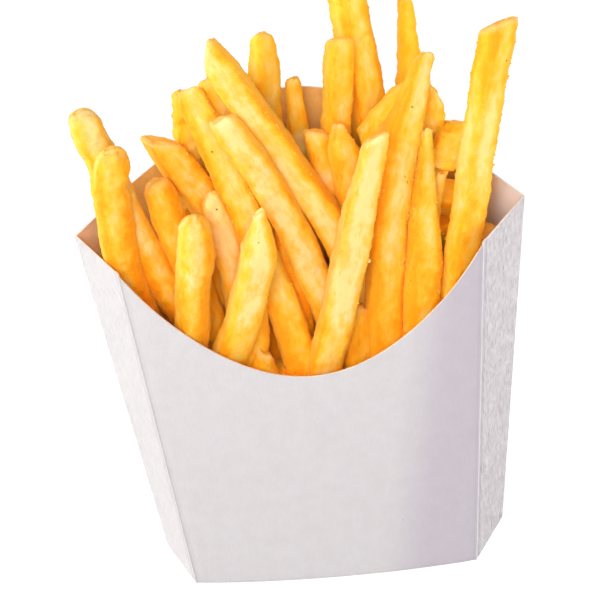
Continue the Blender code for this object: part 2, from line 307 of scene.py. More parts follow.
# %% The sticks that show
STICKS = {
    "left_far": ((-48.5, -6, 135.5), (-23, -3, 55), (-2.5, 0), 8.2, 7.2, 10, 20, -0.2),
    "left_knob": ((-42, -12, 128), (-36, -4.5, 55), (-4.5, 0), 8.8, 8.0, 7, 10, 0.3),
    "left_short": ((-33.5, -4, 114.5), (-21.5, -4, 55), (0, 0), 8.2, 7.0, 8, 8, 0.1),
    "left_slant": ((-32, 2, 122.5), (-17, 3, 91), (0, 0), 8.4, 7.2, 10, 30, -1.0),
    "left_behind": ((-24.3, 10, 131), (-27, 10, 55), (0, 0), 8.0, 7.0, 10, 15, 0),
    "front_left": ((-24, -16.5, 110.5), (-34, -11, 55), (1, 0), 8.7, 7.6, 12, 5, 0),
    "pale_narrow": ((-21, -5, 110), (-18, -5, 55), (2.5, 0), 7.4, 5.4, 14, 12, 0.4),
    "long_yellow": ((-23.3, 4, 134), (-1.5, -11, 55), (1.8, -1), 8.5, 6.8, 14, 8, 0.1),
    "front_pointed": ((-8.5, -19.5, 112), (-27, -11, 55), (3.4, -0.5), 8.6, 2.6, 12, 10, 0.9),
    "light_diagonal": ((-15.5, -9, 132.5), (7, -5, 55), (4.5, 0), 8.0, 7.0, 12, 12, -0.2),
    "long_diagonal": ((-17, -3, 147), (22.5, -3, 55), (3, 0), 8.0, 6.6, 9, 6, 1.1),
    "behind_diagonal": ((-18.5, 8, 135), (-3, 6, 72), (0, 0), 7.4, 6.4, 10, 20, 0.2),
    "back_left_upright": ((-4.2, 8, 145.5), (-10, 12.5, 55), (0, 0), 6.8, 4.8, 12, 35, 0.1),
    "back_narrow": ((1.5, 12.5, 130.5), (-1, 13, 55), (1.5, 0), 7.2, 3.6, 30, 10, 0.1),
    "back_upright": ((14.3, 4.5, 144), (6, 13, 72), (0, 0), 6.6, 5.8, 8, 20, 0.15),
    "back_tallest": ((15.5, 12.5, 158), (14, 13, 55), (4.5, 0), 8.2, 7.2, 12, 30, 0.2),
    "back_spiky": ((30.7, 12.5, 149.5), (29, 12.5, 55), (0, 0), 7.2, 3.2, 30, 20, -0.2),
    "back_leaning": ((31.5, 4.5, 130), (19, 5, 115), (0, 0), 6.8, 4.6, 6, 15, 0.2),
    "back_crossing": ((36, 7.5, 126.5), (19, 6.5, 66), (0, 0), 7.6, 5.2, 8, 15, -0.9),
    "back_lying": ((44.5, 5.3, 117.5), (28, 0, 104), (0, 0), 8.2, 7.6, 8, 10, 0.2),
    "middle_blunt": ((6, 3.5, 120.3), (11, 4.5, 55), (1.5, 0), 7.0, 6.0, 10, 6, -0.4),
    "small_pointed": ((12, 1.5, 122.7), (19, 3, 62), (-1.5, 0), 7.6, 2.4, 8, 20, -0.2),
    "front_light": ((21, -14.5, 127), (1, -13, 55), (0, -0.6), 8.2, 5.4, 30, 8, 0.8),
    "big_right": ((34.3, -1, 140.7), (18.5, -12, 55), (-4.5, 1), 9.0, 4.2, 24, 12, 0.5),
    "right_pointed": ((33, -4, 122), (26, -13, 55), (0, 0), 8.8, 2.8, 34, 8, 0.2),
    "right_tall": ((52, -4, 148.5), (32.5, -12.5, 55), (-0.5, 0), 7.4, 7.4, 10, 36, 0.6),
    "right_small": ((35.6, -3, 109), (19, -4, 64), (0, 0), 7.2, 3.0, 18, 10, 0),
    "right_lying": ((45.5, 3, 96), (33, 7, 97), (0, 0), 8.2, 7.4, 8, 12, 0),
    "right_under": ((47.3, 0, 86.3), (31, 4, 88.8), (0, 0), 8.2, 7.4, 8, 12, 0),
    "deep_left": ((-20.5, 2.5, 87), (-26, 2.5, 55), (0, 0), 8.2, 7.4, 8, 15, 0),
    "deep_orange": ((-7.5, 1, 108.5), (-8.5, 0, 55), (0, 0), 8.0, 7.4, 8, 15, 0),
    "deep_brown": ((1, 4, 101), (1.5, 1, 55), (0, 0), 8.0, 7.4, 8, 15, 0),
    "front_stub": ((-11.5, -13.5, 68.5), (-14.5, -13, 50), (0, 0), 8.6, 4.0, 8, 20, -0.5),
    "low_brown": ((12.2, -8.5, 77), (10, -12, 50), (0, 0), 8.0, 5.4, 10, 20, -0.2),
    "low_gold": ((-13, -9, 82), (-17, -12, 52), (0, 0), 7.8, 6.5, 10, 15, 0.3),
    "deep_gold": ((-3.2, -2, 98), (-3.2, -3.5, 52), (0, 0), 7.4, 6.6, 8, 10, 0),
}

# Which sticks go together, because a piece of the export holds only so many triangles; the rest
# of these rows go to fries_middle, and the sticks that fill the cup to fries_deep
HEAPS = {
    "fries_front": ("front_light", "big_right", "right_pointed", "right_tall", "low_brown",
                    "light_diagonal"),
    "fries_left": ("left_knob", "left_far", "left_short", "left_slant", "front_left",
                   "front_pointed", "long_yellow", "front_stub", "pale_narrow"),
    "fries_middle": (),
    "fries_back": ("left_behind", "back_left_upright", "back_narrow", "back_upright",
                   "back_tallest", "back_spiky", "back_leaning", "back_crossing", "back_lying",
                   "behind_diagonal"),
    "fries_deep": (),
}


def heap_of(name):
    if name.startswith("fill"):
        return "fries_deep"
    return next((heap for heap, names in HEAPS.items() if name in names), "fries_middle")


def of_stick(table, name):
    """A stick's own value in a table, or the one that the rest share."""
    return table.get(name, table["rest"])


for heap in HEAPS:
    print(heap, "has", sum(heap_of(name) == heap for name in STICKS), "sticks with a row")

# %% [markdown]
# No two sticks look alike. The next tables hold how each one differs, from the photo: its
# colour first, then its form. A table's first entry is the value of all sticks without their own.

# %% How the sticks differ in colour
# How pale each stick's faces are, from 0, deep golden, to 1, light straw
# deep_orange, deep_brown, deep_left and deep_gold lie in the gaps; their low paleness is painted
# shade
PALENESS = {
    "rest": 0.5, "front_light": 0.92, "front_left": 0.62, "light_diagonal": 0.82,
    "long_yellow": 0.58, "long_diagonal": 0.66, "pale_narrow": 0.85, "left_far": 0.76,
    "left_knob": 0.46, "big_right": 0.66, "right_tall": 0.98, "right_pointed": 0.62,
    "left_short": 0.45, "front_pointed": 0.85, "left_behind": 0.45, "deep_orange": 0.12,
    "deep_brown": 0.1, "deep_left": 0.15, "low_brown": 0.4, "right_under": 0.35,
    "right_small": 0.55, "low_gold": 0.35, "deep_gold": 0.15, "front_stub": 0.6,
}
FILL_PALENESS = 0.4

# How far each stick's colour leans to a clear yellow: painted light on the thin ones at the
# back, which show it most, and tone that differs from stick to stick on the rest
YELLOW_TONE_AND_LIGHT = {
    "rest": 0.15, "back_left_upright": 0.6, "back_upright": 0.6, "back_tallest": 0.65,
    "back_spiky": 0.7, "back_leaning": 0.6, "back_crossing": 0.6, "back_lying": 0.6,
    "back_narrow": 0.5, "behind_diagonal": 0.6, "left_behind": 0.6, "long_yellow": 0.35,
    "small_pointed": 0.4, "middle_blunt": 0.2, "right_tall": 0.40, "long_diagonal": 0.25,
    "left_slant": 0.25, "right_pointed": 0.45, "big_right": 0.40, "left_short": 0.2,
    "right_lying": 0.4, "right_small": 0.5, "front_stub": 0.4, "low_gold": 0.4,
    "low_brown": 0.3,
}

# Painted shade: which side of a stick's front is made the deeper golden, -1 left to 1 right,
# and how much
PAINTED_SIDE_SHADE = {
    "rest": 0.0, "big_right": -0.50, "right_pointed": -0.45, "front_light": 0.20,
    "front_left": 0.35, "front_pointed": 0.25, "right_tall": 0.35, "long_diagonal": 0.25,
    "long_yellow": -0.30, "light_diagonal": 0.15, "left_knob": 0.20, "small_pointed": 0.25,
    "middle_blunt": 0.35, "left_far": -0.20, "left_slant": 0.25, "back_tallest": 0.25,
    "back_upright": 0.25,
}

# How much deeper golden the last of a stick is by its cut end
TIP_GOLD = {"rest": 0.0, "right_tall": 0.75, "big_right": -0.1, "back_spiky": 0.2}

# Dark specks: the stick, how far down from its cut end in millimetres, and where across it
SPECKS = [("big_right", 30.0, 0.35), ("big_right", 31.5, 0.5), ("big_right", 13.0, -0.2),
          ("right_tall", 9.0, 0.3), ("long_yellow", 15.0, -0.3), ("pale_narrow", 4.0, 0.2),
          ("pale_narrow", 11.0, 0.1), ("right_pointed", 30.0, 0.4), ("front_light", 26.0, -0.1),
          ("front_light", 26.5, 0.25), ("front_pointed", 7.0, -0.1), ("left_slant", 9.0, -0.4)]
SPECK_SIZE = 0.42 * MM
print("paleness of", len(PALENESS) - 1, "sticks by eye,", len(SPECKS), "dark specks")

# %% How the sticks differ in form
# How round each stick's section has cooked, from 0, square, to 1
ROUNDNESS = {
    "rest": 0.2, "front_left": 1.0, "left_short": 0.8, "left_knob": 0.8, "left_far": 0.7,
    "pale_narrow": 0.6, "front_pointed": 0.5, "light_diagonal": 0.35, "front_stub": 0.5,
    "right_small": 0.5,
}

# How each cut end is shaped: how far it is cooked round, from 0 to 1, how far its cut leans
# back (negative: it leans towards the front), and how deep it is torn, in millimetres
ENDS = {
    "rest": (0.3, -0.3, 0.5), "left_far": (0.55, 0.1, 0.3), "left_knob": (0.6, 0.0, 0.6),
    "left_short": (0.45, -0.1, 0.6), "left_behind": (0.4, -0.3, 1.2),
    "front_left": (1.0, -0.1, 0.1), "pale_narrow": (0.7, -0.2, 0.4),
    "long_yellow": (0.25, -0.5, 1.0), "front_pointed": (0.0, 0.1, 0.2),
    "light_diagonal": (0.25, -0.3, 0.8), "long_diagonal": (0.1, -0.4, 0.6),
    "back_left_upright": (0.5, -0.35, 0.6), "back_upright": (0.2, -0.45, 0.5),
    "back_tallest": (0.3, -0.3, 0.8), "back_lying": (0.3, 0.0, 3.0),
    "back_crossing": (0.2, -0.2, 1.2), "middle_blunt": (0.3, -0.3, 0.4),
    "front_light": (0.35, -0.45, 0.5), "big_right": (0.7, -0.4, 0.4),
    "right_tall": (0.1, -0.35, 0.3), "front_stub": (0.2, -0.2, 0.4),
    "small_pointed": (0.1, -0.4, 0.4),
}

# How lumpy a stick's outline is, as a share of its half width
RAGGED = {"rest": 0.02, "back_lying": 0.24, "back_crossing": 0.10, "left_behind": 0.10,
          "back_leaning": 0.05, "left_knob": 0.035, "left_far": 0.035, "long_yellow": 0.03}

# Dips and swellings in an outline: how far down, how long, and how much on the right and left
NOTCHES = {
    "rest": (0.0, 1.0, 0.0, 0.0), "left_knob": (9.5, 2.6, -0.22, 0.14),
    "back_lying": (6.5, 1.8, -0.20, 0.22), "left_short": (9.0, 3.0, -0.08, 0.0),
    "back_spiky": (6.0, 2.2, 0.14, -0.08), "left_far": (13.0, 4.0, 0.06, -0.08),
    "front_left": (10.0, 5.0, 0.10, -0.02),
}
print("cut ends of", len(ENDS) - 1, "sticks by eye,", len(NOTCHES) - 1, "notched outlines")

# %% [markdown]
# Between the sticks that show, others fill the cup. A seeded rule draws them one by one, and
# keeps those that clear the board and each other. The draws come in the same order as where the
# solids were made, so that the same sticks come out.

# %% The sticks that fill the cup
FILL_SEED = 7
FILL_TRIES = 900
FILL_MOST = 22
FILL_FOOT_X = 44.0
FILL_FOOT_Y = (-12.0, 13.0)
FILL_FOOT_Z = 55.0
FILL_LEAN = (12.0, 3.0)
FILL_ROLL = 25.0
FILL_SLANT = 0.4
FILL_TIP_Z = (70.0, 80.0)
FILL_BACK_TIP_Z = 106.0
FILL_BACK_X = 30.0
FILL_WIDTH = 8.0
FILL_TIP_WIDTH = 6.4
FILL_TAPER = 9.0
FILL_BOARD_GAP = 5.96
FILL_GAP = 5.6
FILL_CLEAR_Z = 64.0
FILL_OTHERS_Z = 58.0


def route_point(tip, foot, bow, share):
    sway = 4.0 * share * (1.0 - share)
    return tip.lerp(foot, share) + Vector((bow[0], bow[1], 0.0)) * MM * sway


def middle_line(row, points=12):
    """Points along a stick's middle, in millimetres."""
    tip, foot = Vector(row[0]), Vector(row[1])
    return [route_point(tip * MM, foot * MM, row[2], i / points) / MM for i in range(points + 1)]


def board_distance(point):
    """How far a point inside the cup is from the nearest wall, in millimetres."""
    crease, reach, depth = (size / MM for size in half_widths(point[2] * MM))
    across = depth - abs(point[1])
    run = Vector((reach - crease, -depth))
    normal = Vector((run.y, -run.x)).normalized()
    slanted = normal.dot(Vector((abs(point[0]) - crease, abs(point[1]) - depth)))
    return min(across, slanted)


def fill_sticks():
    draw = random.Random(FILL_SEED)
    lines = [middle_line(row) for row in STICKS.values()]
    extra = []
    for _ in range(FILL_TRIES):
        foot = (draw.uniform(-FILL_FOOT_X, FILL_FOOT_X), draw.uniform(*FILL_FOOT_Y), FILL_FOOT_Z)
        lean = [draw.uniform(-most, most) for most in FILL_LEAN]
        roll = draw.uniform(-FILL_ROLL, FILL_ROLL)
        slant = draw.uniform(-FILL_SLANT, FILL_SLANT)
        lowest, highest = FILL_TIP_Z
        if foot[1] > 0 and abs(foot[0]) < FILL_BACK_X:
            highest = FILL_BACK_TIP_Z
        tip = (foot[0] + lean[0], foot[1] + lean[1], draw.uniform(lowest, highest))
        row = (tip, foot, (0, 0), FILL_WIDTH, FILL_TIP_WIDTH, FILL_TAPER, roll, slant)
        line = middle_line(row)
        inside = min(board_distance(p) for p in line) > FILL_BOARD_GAP
        seen = [p for p in line if p.z > FILL_CLEAR_Z]
        others = [q for other in lines for q in other if q.z > FILL_OTHERS_Z]
        if inside and all((p - q).length > FILL_GAP for p in seen for q in others):
            lines.append(line)
            extra.append(row)
        if len(extra) == FILL_MOST:
            break
    return extra


fill = fill_sticks()
print(len(fill), "fill sticks")

# %% [markdown]
# ## A stick as it leaves the cutter
#
# A potato is pushed through a grid of blades, so a raw stick is a long square bar. Frying
# rounds its edges. The blank is a cube stretched to a bar. Its long edges and its end rims are
# bevelled, it is divided into short lengths, and a subdivision surface evens it out. A short
# and a long blank serve the sticks that show, so that none is stretched much, and one with
# longer rings serves those that fill the cup.

# %% Make the blanks by hand
CUT = 8.0 * MM
EDGE_ROUND = 1.4 * MM
END_ROUND = 0.6 * MM
END_INSET = 0.13 * CUT
END_NORMAL = 0.9
CROSS_LEAST = 0.4 * CUT
RING_STEP = 1.1 * MM

# Each blank's length and how far apart its rings are
BLANKS = {"short_blank": (45 * MM, RING_STEP), "long_blank": (90 * MM, RING_STEP),
          "plain_blank": (40 * MM, RING_STEP * 2)}


def long_edge(edge):
    a, b = (v.co for v in edge.verts)
    return abs(a.x - b.x) < HAIR and abs(a.y - b.y) < HAIR


def cross_edge(edge):
    """An edge across one of the four flat faces."""
    a, b = (v.co for v in edge.verts)
    return abs(a.z - b.z) < HAIR and (a - b).length > CROSS_LEAST


def end_face(face):
    return abs(face.normal.z) > END_NORMAL


def make_blank(name, length, ring_step):
    bpy.ops.object.select_all(action="DESELECT")
    bpy.ops.mesh.primitive_cube_add(size=1, location=(0, 0, length / 2))
    blank = bpy.context.object
    blank.name = name
    blank.scale = (CUT, CUT, length)
    bpy.ops.object.transform_apply(location=True, rotation=True, scale=True)
    pick(blank, "EDGE", long_edge)
    bpy.ops.mesh.bevel(offset=EDGE_ROUND, segments=3, affect="EDGES")
    pick(blank, "FACE", end_face)
    bpy.ops.mesh.bevel(offset=END_ROUND, segments=2, affect="EDGES")
    pick(blank, "EDGE", lambda e: long_edge(e) and e.calc_length() > length * 0.5)
    bpy.ops.mesh.subdivide(number_cuts=round(length / ring_step))
    pick(blank, "EDGE", cross_edge)
    bpy.ops.mesh.subdivide(number_cuts=3)
    for _ in range(2):
        pick(blank, "FACE", end_face)
        bpy.ops.mesh.inset(thickness=END_INSET)
    bpy.ops.object.mode_set(mode="OBJECT")
    finish_with(blank, "SUBSURF", levels=1, render_levels=1)
    print(name, "has", triangles(blank), "triangles")
    return blank


blanks = {name: make_blank(name, *sizes) for name, sizes in BLANKS.items()}

# %% [markdown]
# ## Laying each stick on its own line
#
# A curve modifier would bend a bar, but it can't narrow the tip and slant the cut as well. So
# each copy's points are moved by a function instead: the last centimetre by the cut end keeps
# its shape, the rest is stretched to the length, and every point is carried to the stick's own
# middle line. Slow waves, different for each of the four faces, keep the bars from looking
# machined. Whole arrays of points are moved at once, which is quick.

# %% Soft steps, slow waves and a stick's line
LYING = 0.95


def smooth(low, high, value):
    """A soft step from 0 at low to 1 at high."""
    t = np.clip((value - low) / (high - low), 0.0, 1.0)
    return t * t * (3 - 2 * t)


def waves(draw, distance, lengths):
    """A sum of slow sine waves with random phases, between about -1 and 1."""
    total = np.zeros_like(distance)
    for length in lengths:
        total += np.sin(distance / (length * MM) * 2 * math.pi + draw.uniform(0, 2 * math.pi))
    return total / len(lengths)


def stick_frames(tip, foot, bow, share):
    """The middle line's points with its up, side and front directions, a row for each share."""
    sway = np.array([bow[0], bow[1], 0.0]) * MM
    share = share[:, None]
    centre = tip + (foot - tip) * share + sway * 4 * share * (1 - share)
    up = (tip - foot) - sway * 4 * (1 - 2 * share)
    up /= np.linalg.norm(up, axis=1)[:, None]
    side = np.array([1.0, 0.0, 0.0]) - up * up[:, :1]
    if abs(up[0, 0]) > LYING:
        side = np.cross(up, np.array([0.0, 1.0, 0.0]))
    side /= np.linalg.norm(side, axis=1)[:, None]
    return centre, up, side, np.cross(up, side)


print("soft step at a quarter:", round(float(smooth(0, 1, 0.25)), 3))


# %% Notes on a mesh's points
def add_attribute(mesh, name, values):
    """Store a number, or a vector, for each point of a mesh."""
    values = np.asarray(values, dtype=np.float32)
    kind, key = ("FLOAT", "value") if values.ndim == 1 else ("FLOAT_VECTOR", "vector")
    mesh.attributes.new(name, kind, "POINT").data.foreach_set(key, values.ravel())


def read_points(mesh, name, size=1):
    """Read the points' places, by the name co, or what an attribute holds for them."""
    values = np.zeros(len(mesh.vertices) * size, dtype=np.float32)
    if name == "co":
        mesh.vertices.foreach_get("co", values)
    else:
        mesh.attributes[name].data.foreach_get("value" if size == 1 else "vector", values)
    return values if size == 1 else values.reshape(-1, size)


for blank in blanks.values():
    tallest = read_points(blank.data, "co", 3)[:, 2].max()
    print(blank.name, "is", round(float(tallest) / MM, 1), "mm long")

# %% The form of a stick along and across it
KEPT_END = 12.0 * MM
SQUARE_POWER = 6.4
ROUND_GAIN = 1.03
DOME_SHARE = 0.85
DOME_LENGTH = 1.1
FACE_WAVE = 0.03
FACE_WAVE_LENGTHS = ((31, 17, 9), (37, 19, 8), (29, 15, 7), (41, 21, 10))
LUMP_LENGTHS = (6.1, 4.3, 3.1)
LUMP_SLANT = 0.6
THINNEST = 0.92
TWIST = 7.0


def along_stick(points, length):
    """How far each point is from the cut end, once the blank is stretched to a length."""
    blank_length = points[:, 2].max()
    from_tip = blank_length - points[:, 2]
    stretch = (length - KEPT_END) / (blank_length - KEPT_END)
    kept = from_tip < min(KEPT_END, length * 0.5)
    return np.where(kept, from_tip, KEPT_END + (from_tip - KEPT_END) * stretch)


def half_width(distance, near, width, tip_width, cooked):
    """A stick narrows towards its tip, and a cooked end rounds off."""
    t = np.clip(distance / near, 0, 1)
    half = mix(tip_width, width, (smooth(0, 1, t) + t) * 0.5) * MM * 0.5
    dome = np.clip(1 - distance / (half * DOME_LENGTH), 0, 1)
    return half * mix(1.0, np.sqrt(np.maximum(1 - dome ** 2, 0.0)), cooked * DOME_SHARE)


def cooked_section(u, v, roundness):
    """Places across a stick, from -1 to 1 both ways, moved towards a circle."""
    reach = np.maximum(np.hypot(u, v), 1e-6)
    square = (np.abs(u) ** SQUARE_POWER + np.abs(v) ** SQUARE_POWER) ** (1 / SQUARE_POWER)
    gain = mix(1.0, square * ROUND_GAIN / reach, roundness)
    return u * gain, v * gain


def outline(name, draw, at, roll):
    """How far aside and ahead each point lies, with waves, notches, a twist and lumps."""
    right, left, front, back = (1 + FACE_WAVE * waves(draw, at.distance, lengths)
                                for lengths in FACE_WAVE_LENGTHS)
    notch_at, notch_long, on_right, on_left = of_stick(NOTCHES, name)
    dip = np.exp(-((at.distance / MM - notch_at) / notch_long) ** 2)
    a = at.u * at.half * np.where(at.u > 0, right + on_right * dip, left + on_left * dip)
    b = at.v * at.half * np.where(at.v > 0, front, back) * draw.uniform(THINNEST, 1.0)
    turn = np.radians(roll + TWIST * (at.share - 0.5) * draw.uniform(-1, 1))
    a, b = a * np.cos(turn) - b * np.sin(turn), a * np.sin(turn) + b * np.cos(turn)
    around = at.distance + at.half * at.angle * LUMP_SLANT
    lumps = 1 + of_stick(RAGGED, name) * waves(draw, around, LUMP_LENGTHS)
    return a * lumps, b * lumps


print("a stick of 8 mm narrows to", round(float(half_width(0.0, 1.0, 8, 6, 0) * 2 / MM), 1), "mm")

# %% [markdown]
# Each copy also notes for its finish how near a point is to a long edge and to the rim of the
# cut end, how pale it is, where the specks are, and how the grain of the potato runs. Sticks
# are palest along the middle of a face. Painted shade makes them deeper golden low in the cup,
# on their side faces, and on one side of the front.

# %% Note what the finish needs
EDGE_BAND = (0.42, 0.80)
EDGE_LOST = 0.9
RIM_BAND = (0.45, 0.95)
RIM_LENGTH = 2.6 * MM
RIM_SHARE = {"rest": 0.6, "fries_back": 0.3, "fries_deep": 0.0}
# Painted shade: the side faces of a square stick are made deeper golden
SIDE_FACE_SHADE = 0.22
SIDE_BAND = (0.45, 0.85)
CORNER_BAND = (0.75, 0.98)
MIDDLE_PALE = 0.36
MIDDLE_BAND = (0.15, 0.85)
# How the painted shade on one side of a stick's front spreads across it
SIDE_SHADE_BAND = (-0.1, 0.95)
SIDE_SHADE_ROUND = 1.25
# Painted shade: how much deeper golden the sticks are low in the cup, near the front rim
LOW_PAINTED_SHADE = 0.62
LOW_REACH = 24 * MM
TIP_REACH = 34 * MM
PALE_CHANCE = 0.06
GRAIN_STRETCH = 0.42


def pale_of(name, draw, at, paleness):
    golden, roundness = of_stick(PAINTED_SIDE_SHADE, name), of_stick(ROUNDNESS, name)
    on_side = smooth(*SIDE_BAND, np.abs(at.u)) * (1 - smooth(*CORNER_BAND, np.abs(at.v)))
    in_middle = 1 - smooth(*MIDDLE_BAND, np.minimum(np.abs(at.u), np.abs(at.v)))
    across_face = at.u * mix(1.0, SIDE_SHADE_ROUND, roundness)
    rim_z = FRONT_LOW_Z + FRONT_RISE * np.clip(np.abs(at.x) / CREASE_TOP, 0, 1) ** 2
    pale = paleness + draw.uniform(-PALE_CHANCE, PALE_CHANCE)
    # painted shade on the side faces; the middle of each face is paler
    pale = pale - SIDE_FACE_SHADE * on_side * (1 - roundness) + MIDDLE_PALE * (in_middle - 0.5)
    # painted shade low in the cup
    pale -= LOW_PAINTED_SHADE * paleness * (1 - smooth(0, LOW_REACH, at.z - rim_z))
    pale -= of_stick(TIP_GOLD, name) * (1 - smooth(0, TIP_REACH, at.distance))
    # painted shade: one side of the front is made deeper golden
    return pale - abs(golden) * smooth(*SIDE_SHADE_BAND, across_face * np.sign(golden))


def specks_of(name, at):
    specks = np.zeros(len(at.u))
    for _, down, over in (row for row in SPECKS if row[0] == name):
        away = np.hypot(at.distance - down * MM, (at.u - over) * at.half) / SPECK_SIZE
        specks = np.maximum(specks, np.exp(-away ** 2) * (at.v < -0.5))
    return specks


def note_looks(mesh, name, draw, at, paleness):
    roundness, cooked = of_stick(ROUNDNESS, name), of_stick(ENDS, name)[0]
    edge = smooth(*EDGE_BAND, np.abs(at.cut_u * at.cut_v))
    flat = np.maximum(np.abs(at.cut_u), np.abs(at.cut_v))
    rim = smooth(*RIM_BAND, flat) * (1 - smooth(0, RIM_LENGTH, at.distance)) * (1 - cooked)
    add_attribute(mesh, "edge", edge * (1 - EDGE_LOST * roundness))
    add_attribute(mesh, "rim", rim * of_stick(RIM_SHARE, heap_of(name)))
    add_attribute(mesh, "pale", pale_of(name, draw, at, paleness))
    add_attribute(mesh, "sunny", np.full(len(at.u), of_stick(YELLOW_TONE_AND_LIGHT, name)))
    add_attribute(mesh, "speck", specks_of(name, at))
    start = np.array([draw.uniform(0, 1) for _ in range(3)])
    grown = np.stack([at.u * at.half, at.v * at.half, at.distance * GRAIN_STRETCH], axis=1)
    add_attribute(mesh, "grain", grown + start)


print("edge strength half way:", round(float(smooth(*EDGE_BAND, 0.61)), 2))

# %% Shape one copy of a blank
TAPER_MOST = 0.6
MIDDLE_WAVE = 0.28 * MM
MIDDLE_WAVE_LENGTHS = (43, 23)
CROWN = 0.45
CROWN_DEPTH = 1.2 * MM


def lay_stick(name, row, blank, paleness):
    tip, foot, bow, width, tip_width, taper, roll, slant = row
    cooked, back_slant, torn = of_stick(ENDS, name)
    draw = random.Random(name)
    tip, foot = np.array(tip) * MM, np.array(foot) * MM
    length = np.linalg.norm(tip - foot)
    near = min(taper * MM, length * TAPER_MOST)
    mesh = blank.data.copy()
    points = read_points(mesh, "co", 3).astype(float)
    at = SimpleNamespace(cut_u=points[:, 0] / (CUT / 2), cut_v=points[:, 1] / (CUT / 2))
    at.u, at.v = cooked_section(at.cut_u, at.cut_v, of_stick(ROUNDNESS, name))
    at.angle = np.arctan2(at.v, at.u)
    at.distance = along_stick(points, length)
    at.share = at.distance / length
    at.half = half_width(at.distance, near, width, tip_width, cooked)
    a, b = outline(name, draw, at, roll)
    centre, up, side, ahead = stick_frames(tip, foot, bow, at.share)
    swayed = (a + MIDDLE_WAVE * waves(draw, at.distance, MIDDLE_WAVE_LENGTHS)
              * smooth(0, KEPT_END, at.distance))
    near_end = 1 - np.clip(at.distance / near, 0, 1)
    tear = (0.5 + 0.3 * np.sin(at.angle * 2 + draw.uniform(0, 6))
            + 0.2 * np.sin(at.angle * 5 + draw.uniform(0, 6)))
    inner = 1 - np.clip(np.hypot(at.cut_u, at.cut_v), 0, 1) ** 2
    crown = CROWN * cooked * at.half * inner * (1 - smooth(0, CROWN_DEPTH, at.distance))
    lift = (slant * a + back_slant * b) * near_end - torn * MM * near_end ** 3 * tear + crown
    placed = centre + side * swayed[:, None] + ahead * b[:, None] + up * lift[:, None]
    mesh.vertices.foreach_set("co", placed.ravel())
    at.x, at.z = placed[:, 0], placed[:, 2]
    note_looks(mesh, name, draw, at, paleness)
    stick = bpy.data.objects.new(name, mesh)
    bpy.context.scene.collection.objects.link(stick)
    return stick


# %% Lay all the sticks and join them by heap
LONG_FROM = 62.0


def blank_for(row):
    length = (Vector(row[0]) - Vector(row[1])).length
    return blanks["long_blank" if length > LONG_FROM else "short_blank"]


def join(name, sticks):
    """Join sticks into one piece at the origin."""
    focus(sticks[0])
    for stick in sticks[1:]:
        stick.select_set(True)
    bpy.ops.object.join()
    piece = bpy.context.object
    piece.name = name
    piece.data.name = name
    bpy.ops.object.mode_set(mode="EDIT")
    bpy.ops.mesh.select_all(action="SELECT")
    bpy.ops.mesh.normals_make_consistent(inside=False)
    bpy.ops.object.mode_set(mode="OBJECT")
    print(name, "joined from", len(sticks), "sticks,", triangles(piece), "triangles")
    return piece


heaps = {heap: [] for heap in HEAPS}
for name, row in STICKS.items():
    heaps[heap_of(name)].append(lay_stick(name, row, blank_for(row), of_stick(PALENESS, name)))
for i, row in enumerate(fill):
    stick = lay_stick(f"fill_{i}", row, blanks["plain_blank"], FILL_PALENESS)
    heaps["fries_deep"].append(stick)
pieces = [join(name, sticks) for name, sticks in heaps.items()]
for blank in blanks.values():
    bpy.data.objects.remove(blank)

# %% [markdown]
# ## The fried surface
#
# Frying blisters the faces and leaves the edges crisp and crumbly. Displacement by a cloud
# texture moves the real points: a broad swell first, then blisters, then a fine crumb that is
# strongest where the edge attribute says so. The texture is read in place, so that no two
# sticks come out alike.

# %% Displace the sticks
# Each relief's cloud size, depth of detail, strength and middle level
RELIEF = {"swell": (6.0 * MM, 1, 0.45 * MM, 0.5), "blister": (1.5 * MM, 1, 0.36 * MM, 0.5),
          "crumb": (1.0 * MM, 2, 0.42 * MM, 0.55)}
CRISP_LEVELS = 4
CRISP_LEAST = 0.2


def cloud(name, scale, depth):
    texture = bpy.data.textures.new(name, "CLOUDS")
    texture.noise_scale = scale
    texture.noise_depth = depth
    return texture


clouds = {name: cloud(name, scale, depth) for name, (scale, depth, _, _) in RELIEF.items()}


def fry(piece):
    """Give a joined piece its relief, the crumb by how near a point is to an edge."""
    level = np.ceil(read_points(piece.data, "edge") * CRISP_LEVELS - 0.5)
    group = piece.vertex_groups.new(name="crisp")
    for step in range(CRISP_LEVELS + 1):
        weight = mix(CRISP_LEAST, 1.0, step / CRISP_LEVELS)
        group.add(np.nonzero(level == step)[0].tolist(), weight, "REPLACE")
    for name, (_, _, strength, middle) in RELIEF.items():
        finish_with(piece, "DISPLACE", texture=clouds[name], strength=strength,
                    mid_level=middle, vertex_group="crisp" if name == "crumb" else "")
    piece.vertex_groups.clear()
    focus(piece)
    bpy.ops.object.shade_smooth()


for piece in pieces:
    fry(piece)
print("relief on", len(pieces), "pieces")

# %% [markdown]
# Crumbs of crisp crust cling to the long edges, most of them no bigger than a grain of salt. One
# small ball made by hand serves them all. A seeded rule picks points on the edges, in patches,
# and sets a squashed ball half sunk on each. One larger crumb has its own place, as in the photo.

# %% Scatter crumbs along the edges
CRUMB_RADII = (0.16 * MM, 0.42 * MM)
CRUMB_SHARE = {"fries_front": 0.18, "fries_left": 0.14, "fries_middle": 0.10, "fries_back": 0.02}
CRUMB_LOW_Z = 80 * MM
CRUMB_EDGE = 0.72
CRUMB_PATCH = (1.7 * MM, 2.1 * MM)
CRUMB_SQUASH = (0.6, 1.3)
CRUMB_CRISP = 0.16
CRUMB_PALE = 0.10
LARGE_CRUMB = (16.2, -16.5, 94.0)
LARGE_RADIUS = 0.55 * MM
LARGE_CRISP = 1.5
bpy.ops.mesh.primitive_ico_sphere_add(subdivisions=1, radius=1.0)
ball = bpy.context.object
ball_faces = np.array([tuple(f.vertices) for f in ball.data.polygons])
ball_points = np.array([tuple(v.co) for v in ball.data.vertices])
bpy.data.objects.remove(ball)


